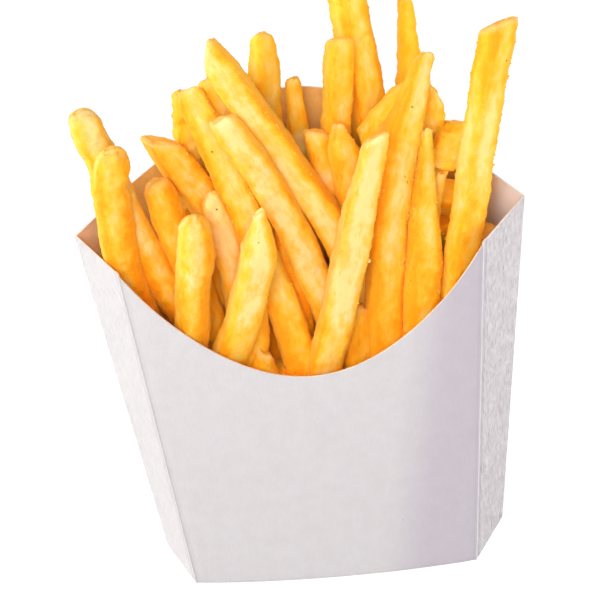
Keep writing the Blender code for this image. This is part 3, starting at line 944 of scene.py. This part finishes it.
def crumb_up(piece, share):
    """Set crumbs on some of a heap's edge points and join them to it."""
    mesh = piece.data
    where, edge = read_points(mesh, "co", 3), read_points(mesh, "edge")
    draw = np.random.default_rng(len(piece.name))
    patchy = 0.5 + 0.5 * np.sin(where[:, 2] / CRUMB_PATCH[1] + where[:, 0] / CRUMB_PATCH[0])
    chance = share * patchy * (edge > CRUMB_EDGE) * (where[:, 2] > CRUMB_LOW_Z)
    chosen = np.nonzero(draw.random(len(where)) < chance)[0]
    small, large = CRUMB_RADII
    radii = draw.uniform(0, 1, (len(chosen), 1, 1)) ** 1.5 * (large - small) + small
    crisp = np.full(len(chosen), CRUMB_CRISP)
    if piece.name == "fries_front":
        chosen[0] = np.linalg.norm(where - np.array(LARGE_CRUMB) * MM, axis=1).argmin()
        radii[0], crisp[0] = LARGE_RADIUS, LARGE_CRISP
    squash = draw.uniform(*CRUMB_SQUASH, (len(chosen), 1, 3))
    points = (where[chosen][:, None, :] + ball_points[None] * radii * squash).reshape(-1, 3)
    first = np.arange(len(chosen))[:, None, None] * len(ball_points)
    crumbs = bpy.data.meshes.new("crumbs")
    crumbs.from_pydata(points.tolist(), [], (ball_faces[None] + first).reshape(-1, 3).tolist())
    gains = {"edge": 0.0, "rim": crisp, "pale": CRUMB_PALE, "sunny": 0.0, "speck": 0.0}
    for name, gain in gains.items():
        values = read_points(mesh, name)[chosen] + gain
        add_attribute(crumbs, name, np.repeat(values, len(ball_points)))
    grain = read_points(mesh, "grain", 3)[chosen]
    add_attribute(crumbs, "grain", np.repeat(grain, len(ball_points), 0))
    loose = bpy.data.objects.new("crumbs", crumbs)
    bpy.context.scene.collection.objects.link(loose)
    focus(piece)
    loose.select_set(True)
    bpy.ops.object.join()
    bpy.ops.object.shade_smooth()
    print(piece.name, "with", len(chosen), "crumbs has", triangles(piece), "triangles")


for piece in pieces:
    if piece.name in CRUMB_SHARE:
        crumb_up(piece, CRUMB_SHARE[piece.name])

# %% [markdown]
# ## The bed under the sticks
#
# Nothing shows of what lies at the bottom of the cup but dark gaps. A plain grid is fitted to
# the cup's outline, its edge is extruded down to the base, and its top gets lumps about as wide
# as a stick, so that a gap never shows an empty cup.

# %% Make the bed
BED_TOP_Z = 60.0 * MM
BED_FOOT_Z = BOARD * 2
BED_GAP = 1.2 * MM
BED_CELLS = (72, 28)
BED_FOOT_SHARE = 0.98
BED_LUMP = (7.0 * MM, 6.0 * MM)
BED_NOTES = {"edge": 0.0, "rim": 0.0, "pale": 0.2, "sunny": 0.0, "speck": 0.0}
bpy.ops.object.select_all(action="DESELECT")
bpy.ops.mesh.primitive_grid_add(x_subdivisions=BED_CELLS[0], y_subdivisions=BED_CELLS[1], size=2)
bed = bpy.context.object
bed.name = "fries_bed"


def in_cup(u, v, z):
    """A point of the cup's inside at height z, from two shares between -1 and 1."""
    crease, reach, depth = half_widths(z)
    x = u * (reach - 4 * BED_GAP)
    narrowed = 1.0 if abs(x) < crease else (reach - abs(x)) / (reach - crease)
    return Vector((x, v * (depth - BED_GAP) * narrowed, z))


for vert in bed.data.vertices:
    vert.co = in_cup(vert.co.x, vert.co.y, BED_TOP_Z)
pick(bed, "FACE", lambda f: True)
down = (0, 0, BED_FOOT_Z - BED_TOP_Z)
bpy.ops.mesh.extrude_region_move(TRANSFORM_OT_translate={"value": down})
bpy.ops.mesh.select_all(action="SELECT")
bpy.ops.mesh.normals_make_consistent(inside=False)
bpy.ops.object.mode_set(mode="OBJECT")
for vert in bed.data.vertices:
    if vert.co.z < BED_TOP_Z * 0.5:
        _, reach, depth = half_widths(BED_TOP_Z)
        _, foot_reach, foot_depth = half_widths(vert.co.z)
        vert.co.x *= foot_reach / reach * BED_FOOT_SHARE
        vert.co.y *= foot_depth / depth * BED_FOOT_SHARE
print("bed in the cup with", len(bed.data.vertices), "points")

# %% Give the bed its lumps and notes
top = bed.vertex_groups.new(name="top")
top.add([v.index for v in bed.data.vertices if v.co.z > BED_TOP_Z - HAIR], 1.0, "REPLACE")
finish_with(bed, "DISPLACE", texture=cloud("lumps", BED_LUMP[0], 0), strength=BED_LUMP[1],
            mid_level=0.5, direction="Z", vertex_group="top")
bed.vertex_groups.clear()
for name, value in BED_NOTES.items():
    add_attribute(bed.data, name, np.full(len(bed.data.vertices), value))
add_attribute(bed.data, "grain", read_points(bed.data, "co", 3))
focus(bed)
bpy.ops.object.shade_smooth_by_angle(angle=math.radians(40))
pieces.append(bed)
print("bed with", triangles(bed), "triangles")

# %% [markdown]
# ## Materials
#
# Small shader graphs are easier to read when one function adds a node, sets its values and
# joins its inputs. A value that varies over the surface comes from noise on Object coordinates,
# or from the attributes noted on the sticks.


# %% Node helpers
def add_node(tree, kind, values=None, links=None, **settings):
    node = tree.nodes.new(kind)
    for key, value in settings.items():
        setattr(node, key, value)
    for key, value in (values or {}).items():
        node.inputs[key].default_value = value
    for key, output in (links or {}).items():
        tree.links.new(output, node.inputs[key])
    return node


def clear_tree(mat):
    mat.use_nodes = True
    mat.node_tree.nodes.clear()
    return mat.node_tree


def put_out(tree, shader):
    out = tree.nodes.new("ShaderNodeOutputMaterial")
    tree.links.new(shader, out.inputs["Surface"])


def mix_shaders(tree, factor, first, second):
    node = tree.nodes.new("ShaderNodeMixShader")
    for socket, output in enumerate((factor, first, second)):
        tree.links.new(output, node.inputs[socket])
    return node.outputs[0]


def noise(tree, vector, scale, detail=2.0, roughness=0.5):
    values = {"Scale": scale, "Detail": detail, "Roughness": roughness}
    return add_node(tree, "ShaderNodeTexNoise", values, {"Vector": vector}).outputs["Fac"]


def attribute(tree, name):
    return add_node(tree, "ShaderNodeAttribute", attribute_name=name).outputs["Fac"]


print("helpers that add nodes ready")

# %% Node helpers for sums and colours
BLACK = (0.0, 0.0, 0.0)
WHITE = (1.0, 1.0, 1.0)


def give(tree, socket, value):
    """Join another node's output to a socket, or set a plain number or colour on it."""
    if isinstance(value, bpy.types.NodeSocket):
        tree.links.new(value, socket)
    else:
        socket.default_value = (*value, 1.0) if isinstance(value, tuple) else value


def maths(tree, operation, a, b=0.0, clamp=False):
    node = add_node(tree, "ShaderNodeMath", operation=operation, use_clamp=clamp)
    give(tree, node.inputs[0], a)
    give(tree, node.inputs[1], b)
    return node.outputs[0]


def plus(tree, a, b):
    return maths(tree, "ADD", a, b)


def minus(tree, a, b, clamp=False):
    return maths(tree, "SUBTRACT", a, b, clamp)


def times(tree, a, b, clamp=False):
    return maths(tree, "MULTIPLY", a, b, clamp)


def blend_colour(tree, factor, a, b, mode="MIX"):
    """Two colours mixed; each may be a plain colour or another node's output."""
    node = add_node(tree, "ShaderNodeMix", data_type="RGBA", blend_type=mode)
    for socket, value in ((0, factor), (6, a), (7, b)):
        give(tree, node.inputs[socket], value)
    return node.outputs[2]


def ramp(tree, factor, stops):
    """A colour ramp with its stops as (place, colour)."""
    node = add_node(tree, "ShaderNodeValToRGB", links={"Fac": factor})
    elements = node.color_ramp.elements
    while len(elements) < len(stops):
        elements.new(0.5)
    for element, (place, colour) in zip(elements, stops):
        element.position = place
        element.color = (*colour, 1.0)
    return node.outputs["Color"]


def step_up(tree, value, low, high):
    """A mask that rises from 0 where value is low to 1 where it is high."""
    return ramp(tree, value, [(low, BLACK), (high, WHITE)])


print("helpers for sums and colours ready")

# %% [markdown]
# Paper is felted from short fibres. One node group gives that grain to every face of the board:
# a broad mask for colour, and fine streaks that run up the sheet as a height for bump.

# %% Fibre grain as a node group
STREAK = (1.0, 1.0, 0.28)
FINE_FIBRES = (1900.0, 3.0, 0.6)
BROAD_FIBRES = (260.0, 3.0, 0.55)
fibre = bpy.data.node_groups.new("fibre grain", "ShaderNodeTree")
fibre.interface.new_socket("Vector", in_out="INPUT", socket_type="NodeSocketVector")
for name in ("Mask", "Height"):
    fibre.interface.new_socket(name, in_out="OUTPUT", socket_type="NodeSocketFloat")
group_in = fibre.nodes.new("NodeGroupInput")
group_out = fibre.nodes.new("NodeGroupOutput")
streaks = add_node(fibre, "ShaderNodeMapping", {"Scale": STREAK},
                   {"Vector": group_in.outputs["Vector"]})
fine = noise(fibre, streaks.outputs["Vector"], *FINE_FIBRES)
broad = noise(fibre, group_in.outputs["Vector"], *BROAD_FIBRES)
fibre.links.new(broad, group_out.inputs["Mask"])
fibre.links.new(fine, group_out.inputs["Height"])
print("fibre grain group made")

# %% Plain paperboard
BROAD_SHARE = 0.6
FIBRE_CONTRAST = (0.35, 0.65)
BOARD_RELIEF = 0.1 * MM


def finish_board(mat, dark, light, roughness, bump, extra=None):
    """Paperboard of one colour; extra may change its colour and its height."""
    tree = clear_tree(mat)
    place = add_node(tree, "ShaderNodeTexCoord").outputs["Object"]
    grain = add_node(tree, "ShaderNodeGroup", links={"Vector": place}, node_tree=fibre)
    height = grain.outputs["Height"]
    tone = plus(tree, times(tree, grain.outputs["Mask"], BROAD_SHARE),
                times(tree, height, 1 - BROAD_SHARE))
    colour = ramp(tree, tone, list(zip(FIBRE_CONTRAST, (dark, light))))
    if extra:
        colour, height = extra(tree, place, colour, height)
    relief = add_node(tree, "ShaderNodeBump", {"Strength": bump, "Distance": BOARD_RELIEF},
                      {"Height": height})
    shader = add_node(tree, "ShaderNodeBsdfPrincipled",
                      {"Roughness": roughness, "IOR": 1.45, "Specular IOR Level": 0.3},
                      {"Base Color": colour, "Normal": relief.outputs["Normal"]})
    put_out(tree, shader.outputs["BSDF"])


cut_edge = carton.material_slots[2].material
finish_board(cut_edge, (0.78, 0.72, 0.67), (0.86, 0.81, 0.77), 0.8, 0.5)
print("cut edge finished")

# %% [markdown]
# The white outside has more to show: pressed lines beside each crease, darkened with painted
# shade, and a thin ridge between them that is lightened, partly a painted highlight and partly
# paler crushed board. The front panel gets painted cool shade towards the right. The flaps were
# pulled while the glue set and so have wrinkled; they get painted light, and painted light and
# shade along the wrinkles. There are a few dark specks. The kraft lining gets painted light
# towards the side edges.

# %% Score lines, wrinkles and specks
# Painted shade towards the right of the front panel
PANEL_PAINTED_SHADE = (0.83, 0.79, 0.86)
# Painted light on the flaps
FLAP_PAINTED_LIGHT = (1.10, 1.10, 1.09)
FLAP_LIGHT_SHARE = 0.8
# Painted shade in the pressed grooves
PRESSED_SHADE = (0.84, 0.83, 0.85)
PRESSED_SHADE_SHARE = 0.75
OUTER_PRESS = (0.52 * MM, 0.50 * MM)
INNER_PRESS = (-0.55 * MM, 0.40 * MM)
INNER_SHARE = 0.5
# Partly a painted highlight along the crease ridge, partly paler crushed board
RIDGE_HIGHLIGHT = (0.84, 0.83, 0.84)
RIDGE_LINE = (0.0, 0.28 * MM)
RIDGE_HIGHLIGHT_SHARE = 0.85
WRINKLE_DRAWN = {"Scale": (1.0, 1.0, 0.42), "Rotation": (0.10, 0.12, 0.0)}
WRINKLE_NOISE = (1000.0, 1.5, 0.5)
# Painted light and shade along the wrinkles
WRINKLE_PAINTED_SHADING = [(0.38, (0.90, 0.89, 0.90)), (0.62, (1.06, 1.06, 1.06))]
DOT_CELLS = 210.0
DOT_SIZE = 0.05
DOT_CHANCE = 0.93
DOT_SHARE = 0.5
DOT_BROWN = (0.30, 0.25, 0.22)
RIDGE_HEIGHT, PRESSED_DEPTH, WRINKLE_HEIGHT = 3.0, 2.0, 20.0


def band(tree, value, centre, half_width):
    """A mask that is 1 where value is at centre and falls to 0 at half_width from it."""
    away = maths(tree, "ABSOLUTE", minus(tree, value, centre))
    return minus(tree, 1.0, maths(tree, "DIVIDE", away, half_width), clamp=True)


def dots(tree, place):
    """A few small dark specks, one in some of the cells of a cell pattern."""
    cells = add_node(tree, "ShaderNodeTexVoronoi", {"Scale": DOT_CELLS}, {"Vector": place})
    drawn = add_node(tree, "ShaderNodeSeparateXYZ", links={"Vector": cells.outputs["Color"]})
    near = maths(tree, "LESS_THAN", cells.outputs["Distance"], DOT_SIZE)
    return times(tree, near, maths(tree, "GREATER_THAN", drawn.outputs["X"], DOT_CHANCE))


def scored_and_creased(tree, place, colour, height):
    """The pressed lines beside the folds with painted shade, the ridge with a painted highlight,
    the wrinkled and lightened flaps with painted light and shade, painted shade to the right of
    the front and a few specks.
    """
    xyz = add_node(tree, "ShaderNodeSeparateXYZ", links={"Vector": place}).outputs
    slope = (CREASE_TOP - CREASE_FOOT) / RIM_SIDE_Z
    crease = plus(tree, times(tree, xyz["Z"], slope), CREASE_FOOT)
    away = minus(tree, maths(tree, "ABSOLUTE", xyz["X"]), crease)
    inner = times(tree, band(tree, away, *INNER_PRESS), INNER_SHARE)
    pressed = maths(tree, "MAXIMUM", band(tree, away, *OUTER_PRESS), inner)
    ridge = band(tree, away, *RIDGE_LINE)
    drawn = add_node(tree, "ShaderNodeMapping", WRINKLE_DRAWN, {"Vector": place})
    ripple = noise(tree, drawn.outputs["Vector"], *WRINKLE_NOISE)
    wrinkled = attribute(tree, "wrinkled")
    flap = times(tree, attribute(tree, "flap"), FLAP_LIGHT_SHARE)
    # painted shade: a cool darkening towards the right of the front panel
    colour = blend_colour(tree, attribute(tree, "cast"), colour, PANEL_PAINTED_SHADE, "MULTIPLY")
    # painted shade in the pressed grooves beside each crease
    colour = blend_colour(tree, times(tree, pressed, PRESSED_SHADE_SHARE), colour, PRESSED_SHADE, "MULTIPLY")
    # partly painted highlight along the crease ridge, partly paler crushed board
    colour = blend_colour(tree, times(tree, ridge, RIDGE_HIGHLIGHT_SHARE), colour, RIDGE_HIGHLIGHT)
    # painted light: the flaps are made lighter
    colour = blend_colour(tree, flap, colour, FLAP_PAINTED_LIGHT, "MULTIPLY")
    # painted light and shade along the wrinkles, besides their bump
    colour = blend_colour(tree, wrinkled, colour, ramp(tree, ripple, WRINKLE_PAINTED_SHADING), "MULTIPLY")
    colour = blend_colour(tree, times(tree, dots(tree, place), DOT_SHARE), colour, DOT_BROWN)
    folded = minus(tree, times(tree, ridge, RIDGE_HEIGHT), times(tree, pressed, PRESSED_DEPTH))
    wrinkles = times(tree, ripple, times(tree, wrinkled, WRINKLE_HEIGHT))
    return colour, plus(tree, height, plus(tree, folded, wrinkles))


# Painted light on the kraft lining
LINING_PAINTED_LIGHT = (0.91, 0.90, 0.92)


def lit_lining(tree, place, colour, height):
    """Painted light: the lining is made paler towards the side edges."""
    return blend_colour(tree, attribute(tree, "worn"), colour, LINING_PAINTED_LIGHT), height


coated, lining = (carton.material_slots[i].material for i in (0, 1))
finish_board(coated, (0.575, 0.555, 0.565), (0.61, 0.59, 0.60), 0.5, 0.9, scored_and_creased)
finish_board(lining, (0.76, 0.41, 0.11), (0.88, 0.51, 0.155), 0.8, 0.6, lit_lining)
print("board finished with", len(carton.material_slots), "materials")

# %% [markdown]
# Where each of these shows is noted on the board's own points, from how far past its crease a
# point lies, on which side of the cup and how high.

# %% Note where the board is wrinkled and where light and shade are painted on it
FLAP_RISE = 8.0
LEFT_FLAP_LIGHT = 1.4
LEFT_WRINKLED = 0.3
PANEL_SHADE_START = (0.30, 0.30)
PANEL_SHADE_WIDTH = 0.35
PANEL_SHADE_FOOT = 0.8
ON_PANEL = 0.01
# Painted light on the kraft lining towards the side edges, right and left
LINING_LIGHT_RIGHT = (2.0, 1.3)
LINING_LIGHT_LEFT = 0.36


def clamp(value):
    return min(max(value, 0.0), 1.0)


def board_notes(x, y, z):
    """How much painted light, wrinkles, painted shade and painted lining light a board point
    gets.
    """
    crease, reach, _ = half_widths(max(z, 0.0))
    past = (abs(x) - crease) / (reach - crease)
    on_flap = clamp(past * FLAP_RISE)
    up = z / RIM_SIDE_Z
    # painted light on the flaps; on the left one it fades to nothing at the rim
    if x > 0:
        flap, wrinkled, worn = on_flap, on_flap, clamp(past * LINING_LIGHT_RIGHT[0]) ** LINING_LIGHT_RIGHT[1]
    else:
        flap = on_flap * LEFT_FLAP_LIGHT * (1.0 - max(up, 0.0))
        wrinkled, worn = on_flap * LEFT_WRINKLED, on_flap * LINING_LIGHT_LEFT
    # painted shade on the front panel, growing towards the right and stronger higher up
    rightward = clamp((x / crease - PANEL_SHADE_START[0] - PANEL_SHADE_START[1] * up) / PANEL_SHADE_WIDTH)
    cast = mix(PANEL_SHADE_FOOT, 1.0, up) * rightward ** 2 * (3 - 2 * rightward)
    return flap, wrinkled, cast if y < 0 and past < ON_PANEL else 0.0, worn


notes = np.array([board_notes(*vert.co) for vert in carton.data.vertices])
for name, values in zip(("flap", "wrinkled", "cast", "worn"), notes.T):
    add_attribute(carton.data, name, values)
    print(name, "up to", round(float(values.max()), 2))

# %% [markdown]
# The potato is one finish on all the sticks. Its colour runs from deep orange through gold to
# straw, by how pale a point was noted to be, and some sticks lean to a clear yellow, which on
# the sticks at the back is painted light. Where the surface turns away from the view it is
# painted a golden shade, and crumbs, crisp edges and the rims of cut ends go to straw. A little
# light passes under the surface, and a soft golden sheen stands for the crust.

# %% The potato's tones
POTATO_TONES = [(0.0, (1.00, 0.32, 0.004)), (0.25, (1.00, 0.42, 0.012)),
                (0.5, (1.00, 0.505, 0.050)), (0.75, (1.00, 0.56, 0.130)),
                (1.0, (1.00, 0.67, 0.28))]
POTATO_CLEAR_YELLOW = [(0.0, (1.00, 0.49, 0.008)), (0.5, (1.00, 0.61, 0.035)),
                (1.0, (1.00, 0.72, 0.15))]
# Each noise's scale, detail and roughness; the first two follow the grain of the stick
PATCH, MOTTLE = (240.0, 2.0, 0.55), (700.0, 3.0, 0.6)
BLOT, SPECKLE = (330.0, 1.0, 0.5), (2400.0, 2.0, 0.6)
TONE_SPREAD = (1.25, 0.95, 0.7, 0.4)
EDGE_DARKER = 0.08
potato = bpy.data.materials.new("fried potato")
tree = clear_tree(potato)
place = add_node(tree, "ShaderNodeTexCoord").outputs["Object"]
skin = add_node(tree, "ShaderNodeAttribute", attribute_name="grain").outputs["Vector"]
patch, mottle = (noise(tree, skin, *values) for values in (PATCH, MOTTLE))
blot, speckle = (noise(tree, place, *values) for values in (BLOT, SPECKLE))
edge, rim = attribute(tree, "edge"), attribute(tree, "rim")
tone = attribute(tree, "pale")
for value, amount in zip((patch, mottle, blot, speckle), TONE_SPREAD):
    tone = plus(tree, tone, times(tree, minus(tree, value, 0.5), amount))
tone = minus(tree, tone, times(tree, edge, EDGE_DARKER), clamp=True)
# the lean to a clear yellow: painted light on the back sticks, and tone that differs per stick
colour = blend_colour(tree, attribute(tree, "sunny"), ramp(tree, tone, POTATO_TONES),
                      ramp(tree, tone, POTATO_CLEAR_YELLOW))
print("potato tones from", POTATO_TONES[0][1], "to", POTATO_TONES[-1][1])

# %% Painted shade on turned faces, crisp edges, end rims and specks
POTATO_TURNED_SHADE = (1.00, 0.54, 0.045)
TURNED_SHARE = 0.7
TURNED_BAND = (0.30, 0.85)
POTATO_CRISP = (1.00, 0.80, 0.42)
CRISP_PATCH = (120.0, 2.0, 0.5)
CRISP_PATCH_BAND = (0.50, 0.58)
CRISP_BAND = (0.50, 0.66)
CRISP_SHARE = 0.45
EDGE_SHARPNESS = 6.0
RIM_GAIN = 1.3
SPECK_BROWN = (0.16, 0.07, 0.02)
SPECK_BAND = (0.45, 0.75)
# painted shade: the colour goes to gold where the surface turns away from the view
facing = add_node(tree, "ShaderNodeLayerWeight", {"Blend": 0.45}).outputs["Facing"]
turned_shade = times(tree, step_up(tree, facing, *TURNED_BAND), TURNED_SHARE)
colour = blend_colour(tree, turned_shade, colour, POTATO_TURNED_SHADE)
patches = step_up(tree, noise(tree, place, *CRISP_PATCH), *CRISP_PATCH_BAND)
sharp = times(tree, maths(tree, "POWER", edge, EDGE_SHARPNESS), patches)
crisp = times(tree, step_up(tree, speckle, *CRISP_BAND), CRISP_SHARE)
colour = blend_colour(tree, times(tree, sharp, crisp), colour, POTATO_CRISP)
rim_share = times(tree, rim, times(tree, speckle, RIM_GAIN), clamp=True)
colour = blend_colour(tree, rim_share, colour, POTATO_CRISP)
burnt = step_up(tree, attribute(tree, "speck"), *SPECK_BAND)
colour = blend_colour(tree, burnt, colour, SPECK_BROWN)
print("potato colour made with", len(tree.nodes), "nodes")

# %% The potato's shader
GLOW = 0.55
GLOW_LOST = 2.5
MOTTLE_HEIGHT = 1.8
SPECKLE_HEIGHT = 0.35
LEAST_ROUGH = 0.45
ROUGH_SPREAD = 0.3
height = plus(tree, times(tree, mottle, MOTTLE_HEIGHT), times(tree, speckle, SPECKLE_HEIGHT))
rough = plus(tree, times(tree, mottle, ROUGH_SPREAD), LEAST_ROUGH)
relief = add_node(tree, "ShaderNodeBump", {"Strength": 0.6, "Distance": 0.30 * MM},
                  {"Height": height})
solid = minus(tree, 1.0, times(tree, rim, GLOW_LOST), clamp=True)
shader = add_node(
    tree, "ShaderNodeBsdfPrincipled",
    {"Subsurface Scale": 1.5 * MM, "Subsurface Radius": (0.7, 0.40, 0.10), "IOR": 1.45,
     "Specular IOR Level": 0.2, "Sheen Weight": 0.6, "Sheen Roughness": 0.45,
     "Sheen Tint": (1.0, 0.50, 0.08, 1.0)},
    {"Base Color": colour, "Roughness": rough, "Normal": relief.outputs["Normal"],
     "Subsurface Weight": times(tree, solid, GLOW)})
put_out(tree, shader.outputs["BSDF"])
for piece in pieces:
    piece.data.materials.clear()
    piece.data.materials.append(potato)
print("potato on", len(pieces), "pieces")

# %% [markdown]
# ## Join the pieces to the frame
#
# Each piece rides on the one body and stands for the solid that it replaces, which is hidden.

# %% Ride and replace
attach(carton, "root")
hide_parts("carton")
for piece in pieces:
    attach(piece, "root")
    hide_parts("fries")
print(1 + len(pieces), "pieces ride on the body root")

# %% [markdown]
# ## Floor, light and camera
#
# The photo is high key: a pure white ground and soft light from all round. The floor is pale and
# shows itself nearly white to the camera. A wide soft box stands near the camera, two weaker
# ones at the sides open the gaps between the sticks, and a small one at the upper left gives
# them a little form. The room is brighter behind the carton.

# %% Floor
FLOOR_HALF = 4.0
FLOOR_SHOWN = 0.92
bpy.ops.object.select_all(action="DESELECT")
bpy.ops.mesh.primitive_plane_add(size=FLOOR_HALF * 2)
floor = bpy.context.object
floor.name = "pale_floor"
floor_paint = bpy.data.materials.new("pale floor")
tree = clear_tree(floor_paint)
lit = add_node(tree, "ShaderNodeBsdfDiffuse", {"Color": (0.85, 0.85, 0.85, 1.0)})
glow = add_node(tree, "ShaderNodeEmission", {"Color": (1.0, 1.0, 1.0, 1.0), "Strength": 1.10})
seen = tree.nodes.new("ShaderNodeLightPath").outputs["Is Camera Ray"]
put_out(tree, mix_shaders(tree, times(tree, seen, FLOOR_SHOWN), lit.outputs[0], glow.outputs[0]))
floor.data.materials.append(floor_paint)
print("floor", FLOOR_HALF * 2, "m across")

# %% Soft boxes
MIDDLE = Vector((0.0, 0.0, 0.135))

# Each lamp's place, size in metres, power in watts, colour and spread in degrees
LAMPS = {
    "key": ((-0.26, -0.22, 0.40), 0.16, 0.06, (1.0, 0.98, 0.94), 50),
    "fill": ((-0.06, -0.62, 0.45), 0.45, 4.15, (1.0, 0.985, 0.98), 180),
    "side": ((-0.50, -0.02, 0.16), 0.3, 1.4, (1.0, 1.0, 0.97), 180),
    "right": ((0.50, 0.02, 0.16), 0.3, 1.4, (1.0, 0.97, 1.0), 180),
}


def softbox(name, place, size, power, colour, spread):
    """A round area light that is turned to the middle of the heap."""
    data = bpy.data.lights.new(name, "AREA")
    data.shape = "DISK"
    data.size = size
    data.energy = power
    data.color = colour
    data.spread = math.radians(spread)
    lamp = bpy.data.objects.new(name, data)
    bpy.context.scene.collection.objects.link(lamp)
    lamp.location = place
    lamp.rotation_euler = (MIDDLE - Vector(place)).to_track_quat("-Z", "Y").to_euler()


for name, values in LAMPS.items():
    softbox(name, *values)
print(len(LAMPS), "soft boxes,", sum(values[2] for values in LAMPS.values()), "W in all")

# %% The white room
ROOM_LIGHT = 0.34
ROOM_BEHIND = 0.36
ROOM_LEFT = 0.06
world = bpy.context.scene.world or bpy.data.worlds.new("white studio")
bpy.context.scene.world = world
tree = clear_tree(world)
seen = tree.nodes.new("ShaderNodeLightPath").outputs["Is Camera Ray"]
sky = tree.nodes.new("ShaderNodeTexCoord").outputs["Generated"]
way = add_node(tree, "ShaderNodeSeparateXYZ", links={"Vector": sky}).outputs
strength = plus(tree, plus(tree, times(tree, way["Y"], ROOM_BEHIND),
                           times(tree, way["X"], -ROOM_LEFT)), ROOM_LIGHT)
room = add_node(tree, "ShaderNodeBackground", {"Color": (1.0, 0.95, 0.99, 1.0)},
                {"Strength": strength})
ground = add_node(tree, "ShaderNodeBackground", {"Color": (1.0, 1.0, 1.0, 1.0), "Strength": 1.0})
both = mix_shaders(tree, seen, room.outputs[0], ground.outputs[0])
tree.links.new(both, tree.nodes.new("ShaderNodeOutputWorld").inputs["Surface"])
bpy.context.scene.view_settings.view_transform = "Standard"
print("white room with", len(tree.nodes), "nodes")

# %% [markdown]
# The camera looks down by about a third of a right angle, and is turned and rolled a little, as
# the photo was taken. Its directions are worked out one from the other: from the carton back to
# the camera, level to the right, and up the picture.

# %% Camera
CAMERA_DOWN = math.radians(32.026)
CAMERA_TURN = math.radians(3.150)
CAMERA_ROLL = math.radians(-6.690)
CAMERA_DISTANCE = 0.62
CAMERA_AIM = Vector((0.0, 0.0, 0.06))
CAMERA_SHIFT = (-0.00486, 0.01303)
LENS = 148.26
SENSOR = 36.0
back_way = Vector((math.sin(CAMERA_TURN) * math.cos(CAMERA_DOWN),
                   -math.cos(CAMERA_TURN) * math.cos(CAMERA_DOWN), math.sin(CAMERA_DOWN)))
level = Vector((math.cos(CAMERA_TURN), math.sin(CAMERA_TURN), 0.0))
rising = back_way.cross(level)
across = level * math.cos(CAMERA_ROLL) + rising * math.sin(CAMERA_ROLL)
upward = rising * math.cos(CAMERA_ROLL) - level * math.sin(CAMERA_ROLL)
target = CAMERA_AIM + across * CAMERA_SHIFT[0] + upward * CAMERA_SHIFT[1]
camera_data = bpy.data.cameras.new("camera")
camera_data.lens = LENS
camera_data.sensor_width = SENSOR
camera = bpy.data.objects.new("camera", camera_data)
bpy.context.scene.collection.objects.link(camera)
turn = Matrix((across, upward, back_way)).transposed().to_4x4()
camera.matrix_world = Matrix.Translation(target + back_way * CAMERA_DISTANCE) @ turn
bpy.context.scene.camera = camera
print("camera at", [round(c, 3) for c in camera.matrix_world.translation])
